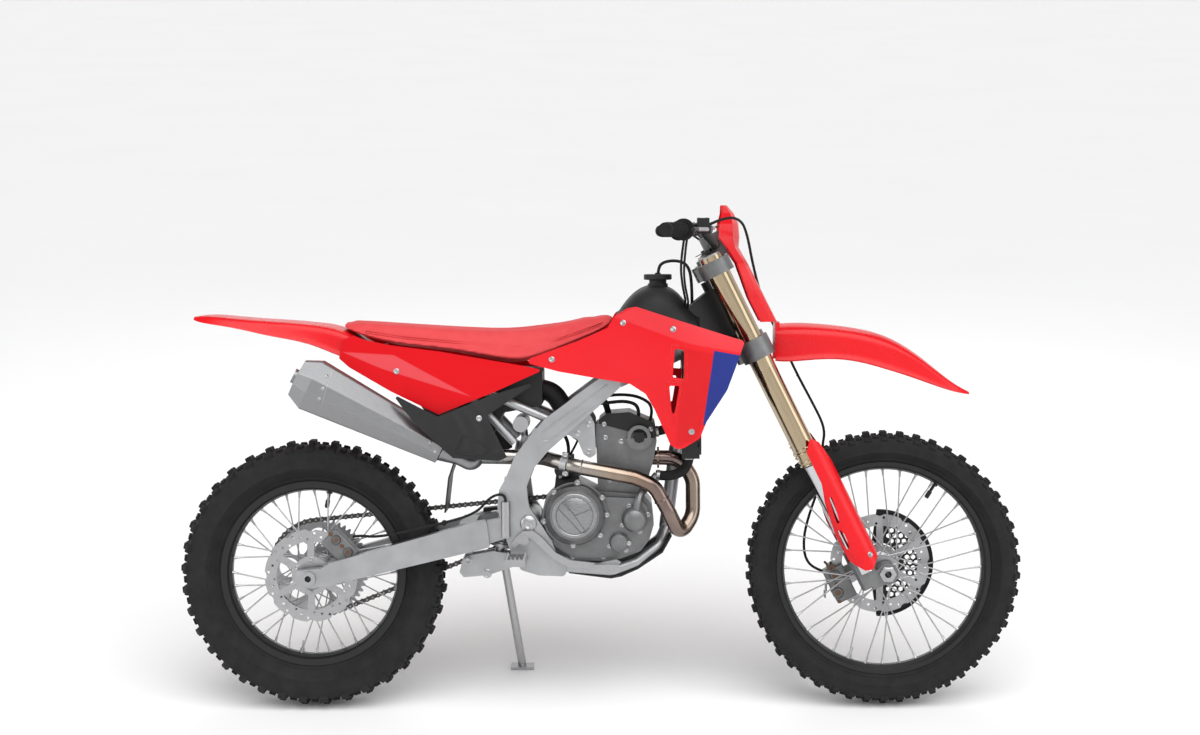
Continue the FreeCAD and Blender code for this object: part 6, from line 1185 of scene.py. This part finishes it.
class SeatSizes(bpy.types.PropertyGroup):
    """Sizes of the seat's cover."""
    voxel: bpy.props.FloatProperty(
        name="Voxel", description="Fineness of the padded shape",
        default=0.005, min=0.003, max=0.01, unit="LENGTH")
    pressure: bpy.props.FloatProperty(
        name="Pressure", description="How hard the foam fills the cover", default=4.0, min=0.0)
    swell: bpy.props.FloatProperty(
        name="Swell", description="How far the cover may stand out",
        default=0.003, min=0.0, max=0.01, unit="LENGTH")


def shape_of(carrier):
    """Mesh of an object with its modifiers worked in."""
    bpy.context.view_layer.update()
    graph = bpy.context.evaluated_depsgraph_get()
    return bpy.data.meshes.new_from_object(carrier.evaluated_get(graph))


def swollen(pad, pressure, most):
    """Lets a pad swell under a little pressure, as foam fills its cover, up to a limit."""
    scene = bpy.context.scene
    start = [vert.co.copy() for vert in pad.data.vertices]
    cloth = pad.modifiers.new("cover", "CLOTH")
    cloth.settings.use_pressure = True
    cloth.settings.uniform_pressure_force = pressure
    cloth.settings.effector_weights.gravity = 0
    for step in range(1, SWELL_STEPS + 1):
        scene.frame_set(step)
    shape = shape_of(pad)
    pad.modifiers.clear()
    scene.frame_set(1)
    for vert, origin in zip(shape.vertices, start):
        moved = vert.co - origin
        if moved.length > most:
            vert.co = origin + moved * (most / moved.length)
    return shape


class BIKE_OT_seat(bpy.types.Operator):
    """Makes the padded seat in place of its solid, then its seams"""
    bl_idname = "bike.seat"
    bl_label = "Seat"

    def execute(self, context):
        sizes = context.scene.bike_seat
        form = bmesh.new()
        form.from_mesh(frame["nodes"]["seat"].data)
        bmesh.ops.remove_doubles(form, verts=form.verts, dist=1e-5)
        for vert in form.verts:
            vert.co -= vert.normal * COVER_ALLOWANCE
        mesh = bpy.data.meshes.new("seat_cushion")
        form.to_mesh(mesh)
        form.free()
        seat = bpy.data.objects.new("seat_cushion", mesh)
        context.scene.collection.objects.link(seat)
        remesh = seat.modifiers.new("even", "REMESH")
        remesh.mode = "VOXEL"
        remesh.voxel_size = sizes.voxel
        shape = shape_of(seat)
        seat.modifiers.clear()
        seat.data = shape
        seat.data = swollen(seat, sizes.pressure, sizes.swell)
        form = bmesh.new()
        form.from_mesh(seat.data)
        bmesh.ops.smooth_vert(form, verts=form.verts, factor=0.5, use_axis_x=True,
                              use_axis_y=True, use_axis_z=True)
        form.to_mesh(seat.data)
        form.free()
        seat.data.shade_smooth()
        seat.data.materials.clear()
        seat.data.materials.append(FINISHES["seat_cover"])
        finer = seat.modifiers.new("finer", "SUBSURF")
        finer.levels = finer.render_levels = 1
        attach(seat, "chassis")
        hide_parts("seat")
        form = bmesh.new()
        for side in SIDES:
            for drop, wire in SEAM_WIRES.items():
                add_bead_on(form, "seat", [(x, z - drop) for x, z in SEAT_SEAM], 4, side, wire,
                            lift=-0.0006)
        as_piece("seat_seams", form, "chassis", "seat_cover")
        return {"FINISHED"}


# Small parts on the bars, brakes, pegs and radiators

BAR_BEND, BAR_END = Vector((1.005, 0.165, 1.230)), Vector((0.912, 0.412, 1.230))
GRIP_START, GRIP_RIB_PITCH, GRIP_RIBS = 0.158, 0.0054, 19
LEVER_PIVOT = [(0, -0.014), (0.0052, -0.014), (0.0052, 0.004), (0.004, 0.006), (0, 0.006)]
CABLE_ADJUSTER = [(0, -0.004), (0.0060, -0.004), (0.0060, 0.008), (0.0045, 0.010),
                  (0.0045, 0.022), (0, 0.022)]
SWITCH_BUTTON = [(0, -0.002), (0.006, -0.002), (0.006, 0.004), (0.0045, 0.006), (0, 0.006)]
HOSE_UNION = [(0, -0.004), (0.0065, -0.004), (0.0065, 0.010), (0.0050, 0.012), (0, 0.012)]
BLEED_SCREW = [(0, -0.006), (0.0034, -0.006), (0.0034, 0.010), (0.0022, 0.012), (0, 0.012)]
# Place and spread of each row of caliper pistons, its side and a piston's radius
FRONT_PISTONS = (((1.362, 0.040, 0.303), (-0.008, 0, 0.046), -1, 0.0150),
                 ((1.362, 0.102, 0.303), (-0.008, 0, 0.046), 1, 0.0150))
REAR_PISTONS = (((0.083, -0.0815, 0.425), (0.030, 0, -0.032), -1, 0.0125),)
REAR_BRAKE_HOSE = [
    (0.508, -0.137, 0.546), (0.508, -0.137, 0.566), (0.470, -0.132, 0.560), (0.430, -0.124, 0.510),
    (0.300, -0.118, 0.478), (0.180, -0.114, 0.452), (0.130, -0.095, 0.455), (0.112, -0.070, 0.448)]
HOSE_GUIDE = [(0, -0.002), (0.007, -0.002), (0.007, 0.008), (0.005, 0.011), (0, 0.011)]
PEG_TEETH_HEIGHT = 0.4140
COOLING_HOSES = (
    (0.0125, [(0.975, -0.080, 0.662), (0.974, -0.080, 0.636), (0.955, -0.084, 0.612),
              (0.920, -0.090, 0.603), (0.888, -0.088, 0.607)]),
    (0.0120, [(0.880, -0.040, 0.712), (0.905, -0.045, 0.716), (0.930, -0.055, 0.728),
              (0.960, -0.070, 0.742)]),
    (0.0110, [(0.975, -0.012, 0.690), (0.975, 0, 0.688), (0.975, 0.012, 0.690)]),
)
HOSE_CLIPS = (((0.974, -0.080, 0.650), UP), ((0.895, -0.089, 0.606), (-1, 0, 0.1)),
              ((0.893, -0.043, 0.714), (1, 0, 0.1)))


class BIKE_OT_control_fittings(bpy.types.Operator):
    """Makes the grips' ribs and the caps, pivots, switches and adjusters on the bars"""
    bl_idname = "bike.control_fittings"
    bl_label = "Control fittings"

    def execute(self, context):
        ribs, steel, black = bmesh.new(), bmesh.new(), bmesh.new()
        for side in SIDES:
            mirror = Vector((1, side, 1))
            near = BAR_BEND * mirror
            line = (BAR_END * mirror - near).normalized()
            for i in range(GRIP_RIBS):
                add_ring(ribs, near + line * (GRIP_START + GRIP_RIB_PITCH * i), line, 0.0163,
                         0.0013, 20)
            for reach in (0.062, 0.080):
                add_bolt(steel, near + line * reach + UP * 0.0155, UP, 0.0032)
            pivot = near + line * 0.084 + Vector((0.040, 0, 0.012))
            add_cap(steel, pivot, UP, LEVER_PIVOT, 0, 16)
            add_cap(steel, pivot - line * 0.020 + Vector((0.004, 0, -0.008)), -line,
                    CABLE_ADJUSTER, 0, 12)
            switch = near + line * 0.118
            add_block(black, (0.016, 0.022, 0.014),
                      Matrix.Translation(switch + Vector((-0.014, 0, 0.006))), 0.003, 2)
            add_cap(black, switch + Vector((-0.021, 0, 0.006)), (-1, 0, 0.2), SWITCH_BUTTON, 0, 16)
            clamp = Vector((1.036, side * 0.031, 1.237))
            add_block(steel, (0.030, 0.022, 0.008),
                      Matrix.Translation(clamp) @ Matrix.Rotation(-RAKE * 0.35, 4, "Y"), 0.003, 2)
            for ahead in (-0.011, 0.011):
                add_bolt(steel, clamp + Vector((ahead, 0, 0.003 - ahead * 0.1)), UP, 0.0040)
        for ahead in (-0.010, 0.010):
            for across in (-0.018, 0.018):
                add_bolt(steel, (1.006 + ahead, -0.232 + across, 1.2575), UP, 0.0026)
        add_cap(steel, (1.006, -0.205, 1.234), (0.2, 1, 0), HOSE_UNION, 0, 16)
        as_piece("grip_ribs", ribs, "steering", "grip_rubber")
        as_piece("bar_bolts", steel, "steering", "plain_steel")
        as_piece("bar_switches", black, "steering", "black_enamel")
        return {"FINISHED"}


def add_caliper_parts(form, centre, spread, side, radius):
    """Adds two piston housings, their caps, pad pins and a bleed screw to a caliper."""
    outward, centre, run = (0, side, 0), Vector(centre), Vector(spread)
    for share in (-0.5, 0.5):
        spot = centre + run * share
        add_cap(form, spot, outward, [
            (0, -0.004), (radius, -0.004), (radius, 0.003), (radius * 0.86, 0.006),
            (radius * 0.80, 0.006), (radius * 0.74, 0.0035), (0, 0.0035)], 0, 28)
        add_cap(form, spot, outward, [(0, 0), (radius * 0.52, 0), (radius * 0.52, 0.0048),
                                      (0, 0.0048)], 1, 20)
    for share in (-0.98, 0.0, 0.98):
        add_bolt(form, centre + run * share, outward, 0.0042, 1)
    add_cap(form, centre + run * 0.78 + Vector((-0.012, 0, 0.006)), (-1, 0, 1), BLEED_SCREW, 1, 10)


class BIKE_OT_brake_fittings(bpy.types.Operator):
    """Makes the calipers' piston housings and pins, and the rear brake's hose"""
    bl_idname = "bike.brake_fittings"
    bl_label = "Brake fittings"

    def execute(self, context):
        form = bmesh.new()
        for row in FRONT_PISTONS:
            add_caliper_parts(form, *row)
        for i in range(5):
            add_block(form, (0.0035, 0.030, 0.018),
                      Matrix.Translation((1.334 + 0.003 * i, 0.071, 0.272 + 0.018 * i)), 0.001)
        as_piece("front_caliper_parts", form, "steering", ["cast_alloy", "bronze_pad"])
        form = bmesh.new()
        for row in REAR_PISTONS:
            add_caliper_parts(form, *row)
        as_piece("rear_caliper_parts", form, "chassis", ["cast_alloy", "bronze_pad"])
        form = bmesh.new()
        add_hose(form, REAR_BRAKE_HOSE, 0.0034)
        for x, z in ((0.350, 0.489), (0.220, 0.460)):
            add_cap(form, (x, -0.1115, z), RIGHTWARD, HOSE_GUIDE, 0, 16)
        as_piece("rear_brake_hose", form, "chassis", "hose_rubber")
        return {"FINISHED"}


class BIKE_OT_peg_and_radiator_fittings(bpy.types.Operator):
    """Makes the footpegs' teeth, the radiators' slats and the cooling hoses"""
    bl_idname = "bike.peg_and_radiator_fittings"
    bl_label = "Peg and radiator fittings"

    def execute(self, context):
        form, tooth = bmesh.new(), bmesh.new()
        bmesh.ops.create_cone(tooth, cap_ends=True, cap_tris=False, segments=4, radius1=0.0034,
                              radius2=0.0012, depth=0.007)
        spots = [(x, side * (0.146 + 0.0105 * i)) for side in SIDES for x in (0.514, 0.558)
                 for i in range(9)]
        spots += [(0.525 + 0.011 * i, side * 0.2290) for side in SIDES for i in range(3)]
        join_copies(form, tooth, [Matrix.Translation((*spot, PEG_TEETH_HEIGHT)) for spot in spots])
        as_piece("footpeg_teeth", form, "chassis", "plain_steel")
        form, slat = bmesh.new(), bmesh.new()
        add_block(slat, (0.007, 0.132, 0.0028), Matrix.Rotation(0.5, 4, "Y"), 0.0008)
        join_copies(form, slat, [Matrix.Translation((1.0005, side * 0.083, 0.688 + 0.0105 * i))
                                 for side in SIDES for i in range(21)])
        for side in SIDES:
            for across in (0.014, 0.152):
                add_block(form, (0.006, 0.007, 0.250),
                          Matrix.Translation((1.0005, side * across, 0.790)), 0.001)
        as_piece("radiator_louvres", form, "chassis", "black_grained")
        form = bmesh.new()
        for radius, route in COOLING_HOSES:
            add_hose(form, route, radius)
        as_piece("cooling_hoses", form, "chassis", "hose_rubber")
        form = bmesh.new()
        for at, way in HOSE_CLIPS:
            add_band(form, at, way, 0.0128, 0.0142, 0.004, 0, 24)
        as_piece("hose_clips", form, "chassis", "plain_steel")
        return {"FINISHED"}


# Stage

# Camera as fitted to the photo, in the bike frame: yaw, pitch and roll in degrees, and its place
CAMERA_TURN = (-1.047, 3.546, -0.324)
CAMERA_AT = Vector((0.84327, -5.28617, 1.20414))
SENSOR_WIDTH = 36.0
FLOOR_HALF = 300.0
AIM = Vector((0, 0, 0.6))
# Size and place of each soft light
SOFT_LIGHTS = {
    "side_rear": ((2.0, 3.0), (-3.6, -2.2, 2.2)),
    "side_front": ((2.0, 3.0), (3.8, -1.8, 2.4)),
    "far": ((4.0, 2.0), (0.0, 3.4, 3.4)),
}
OVERHEAD_WAY = Vector((0.15, -0.55, 1.0))
OVERHEAD_SPREAD = math.radians(60)


class StageSizes(bpy.types.PropertyGroup):
    """Lights and lens of the studio."""
    lens: bpy.props.FloatProperty(
        name="Lens", description="Focal length on a 36 mm wide sensor",
        default=61.42, min=20.0, max=200.0)
    key_strength: bpy.props.FloatProperty(
        name="Key light", description="Strength of the wide overhead light", default=2.3, min=0.0)
    fill_power: bpy.props.FloatProperty(
        name="Fill light", description="Power of the side lights",
        default=30.0, min=0.0, unit="POWER")
    sky: bpy.props.FloatProperty(
        name="Sky", description="Strength of the surround overhead", default=0.22, min=0.0, max=1.0)


def add_to_scene(name, data, place=None):
    """Object that holds some data, placed in the scene."""
    made = bpy.data.objects.new(name, data)
    bpy.context.scene.collection.objects.link(made)
    if place is not None:
        made.matrix_world = place
    return made


def place_camera(context, lens):
    """Camera fixed to the bike, as the photo's perspective has it."""
    yaw, pitch, roll = (math.radians(angle) for angle in CAMERA_TURN)
    ahead = Vector((math.sin(yaw) * math.cos(pitch), math.cos(yaw) * math.cos(pitch),
                    -math.sin(pitch)))
    level = Vector((math.cos(yaw), -math.sin(yaw), 0))
    rise = level.cross(ahead)
    right = level * math.cos(roll) + rise * math.sin(roll)
    up = rise * math.cos(roll) - level * math.sin(roll)
    look = Matrix((right, up, -ahead)).transposed().to_4x4()
    look.translation = CAMERA_AT
    data = bpy.data.cameras.new("camera")
    data.lens = lens
    data.sensor_width = SENSOR_WIDTH
    context.scene.camera = add_to_scene("camera", data, PARKED @ look)


def light_surround(tree, dimmed):
    """White all round at eye level and dimmer overhead, for metal to reflect."""
    background = tree.nodes["Background"]
    height = tree.nodes.new("ShaderNodeSeparateXYZ")
    fade = tree.nodes.new("ShaderNodeMapRange")
    fade.interpolation_type = "SMOOTHSTEP"
    for key, value in {1: 0.16, 2: 0.62, 3: 1.0, 4: dimmed}.items():
        fade.inputs[key].default_value = value
    tree.links.new(tree.nodes.new("ShaderNodeTexCoord").outputs["Generated"], height.inputs[0])
    tree.links.new(height.outputs["Z"], fade.inputs[0])
    tree.links.new(fade.outputs[0], background.inputs["Strength"])
    background.inputs["Color"].default_value = (1, 1, 1, 1)


class BIKE_OT_stage(bpy.types.Operator):
    """Sets up the floor, the soft lights and the camera"""
    bl_idname = "bike.stage"
    bl_label = "Stage"

    def execute(self, context):
        sizes = context.scene.bike_stage
        form = bmesh.new()
        bmesh.ops.create_grid(form, x_segments=2, y_segments=2, size=FLOOR_HALF)
        mesh = bpy.data.meshes.new("floor")
        form.to_mesh(mesh)
        form.free()
        mesh.materials.append(floor_paint().material)
        add_to_scene("floor", mesh)
        context.scene.view_settings.view_transform = "Standard"
        world = context.scene.world or bpy.data.worlds.new("studio")
        context.scene.world = world
        world.use_nodes = True
        light_surround(world.node_tree, sizes.sky)
        data = bpy.data.lights.new("overhead", "SUN")
        data.energy = sizes.key_strength
        data.angle = OVERHEAD_SPREAD
        add_to_scene("overhead", data, OVERHEAD_WAY.to_track_quat("Z", "Y").to_matrix().to_4x4())
        for name, (size, at) in SOFT_LIGHTS.items():
            data = bpy.data.lights.new(name, "AREA")
            data.shape = "RECTANGLE"
            data.size, data.size_y = size
            data.energy = sizes.fill_power
            look = (AIM - Vector(at)).to_track_quat("-Z", "Y").to_matrix().to_4x4()
            add_to_scene(name, data, Matrix.Translation(at) @ look)
        place_camera(context, sizes.lens)
        return {"FINISHED"}


class BIKE_PT_panel(bpy.types.Panel):
    """Lists the steps that dress the bike"""
    bl_idname = "BIKE_PT_panel"
    bl_label = "Motocross bike"
    bl_space_type = "VIEW_3D"
    bl_region_type = "UI"
    bl_category = "Bike"

    def draw(self, context):
        for group in GROUPS:
            sizes = getattr(context.scene, group)
            for name in sizes.bl_rna.properties.keys():
                if name not in ("rna_type", "name"):
                    self.layout.prop(sizes, name)
        for step in STEPS:
            self.layout.operator(step.bl_idname)


GROUPS = {"bike_stage": StageSizes, "bike_tyres": TyreSizes, "bike_seat": SeatSizes}
STEPS = (BIKE_OT_finishes, BIKE_OT_stage, BIKE_OT_tyres, BIKE_OT_wheel_fittings, BIKE_OT_chain,
         BIKE_OT_bodywork, BIKE_OT_frame_fittings, BIKE_OT_engine_fittings,
         BIKE_OT_exhaust_fittings, BIKE_OT_fork_fittings, BIKE_OT_hoses, BIKE_OT_seat,
         BIKE_OT_control_fittings, BIKE_OT_brake_fittings, BIKE_OT_peg_and_radiator_fittings)
CLASSES = (*GROUPS.values(), *STEPS, BIKE_PT_panel)


def register():
    for item in CLASSES:
        bpy.utils.register_class(item)
    for name, group in GROUPS.items():
        setattr(bpy.types.Scene, name, bpy.props.PointerProperty(type=group))


def unregister():
    for name in GROUPS:
        delattr(bpy.types.Scene, name)
    for item in reversed(CLASSES):
        bpy.utils.unregister_class(item)


def main():
    """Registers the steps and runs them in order."""
    register()
    for step in STEPS:
        getattr(bpy.ops.bike, step.bl_idname.split(".")[1])()


if __name__ == "__main__":
    main()
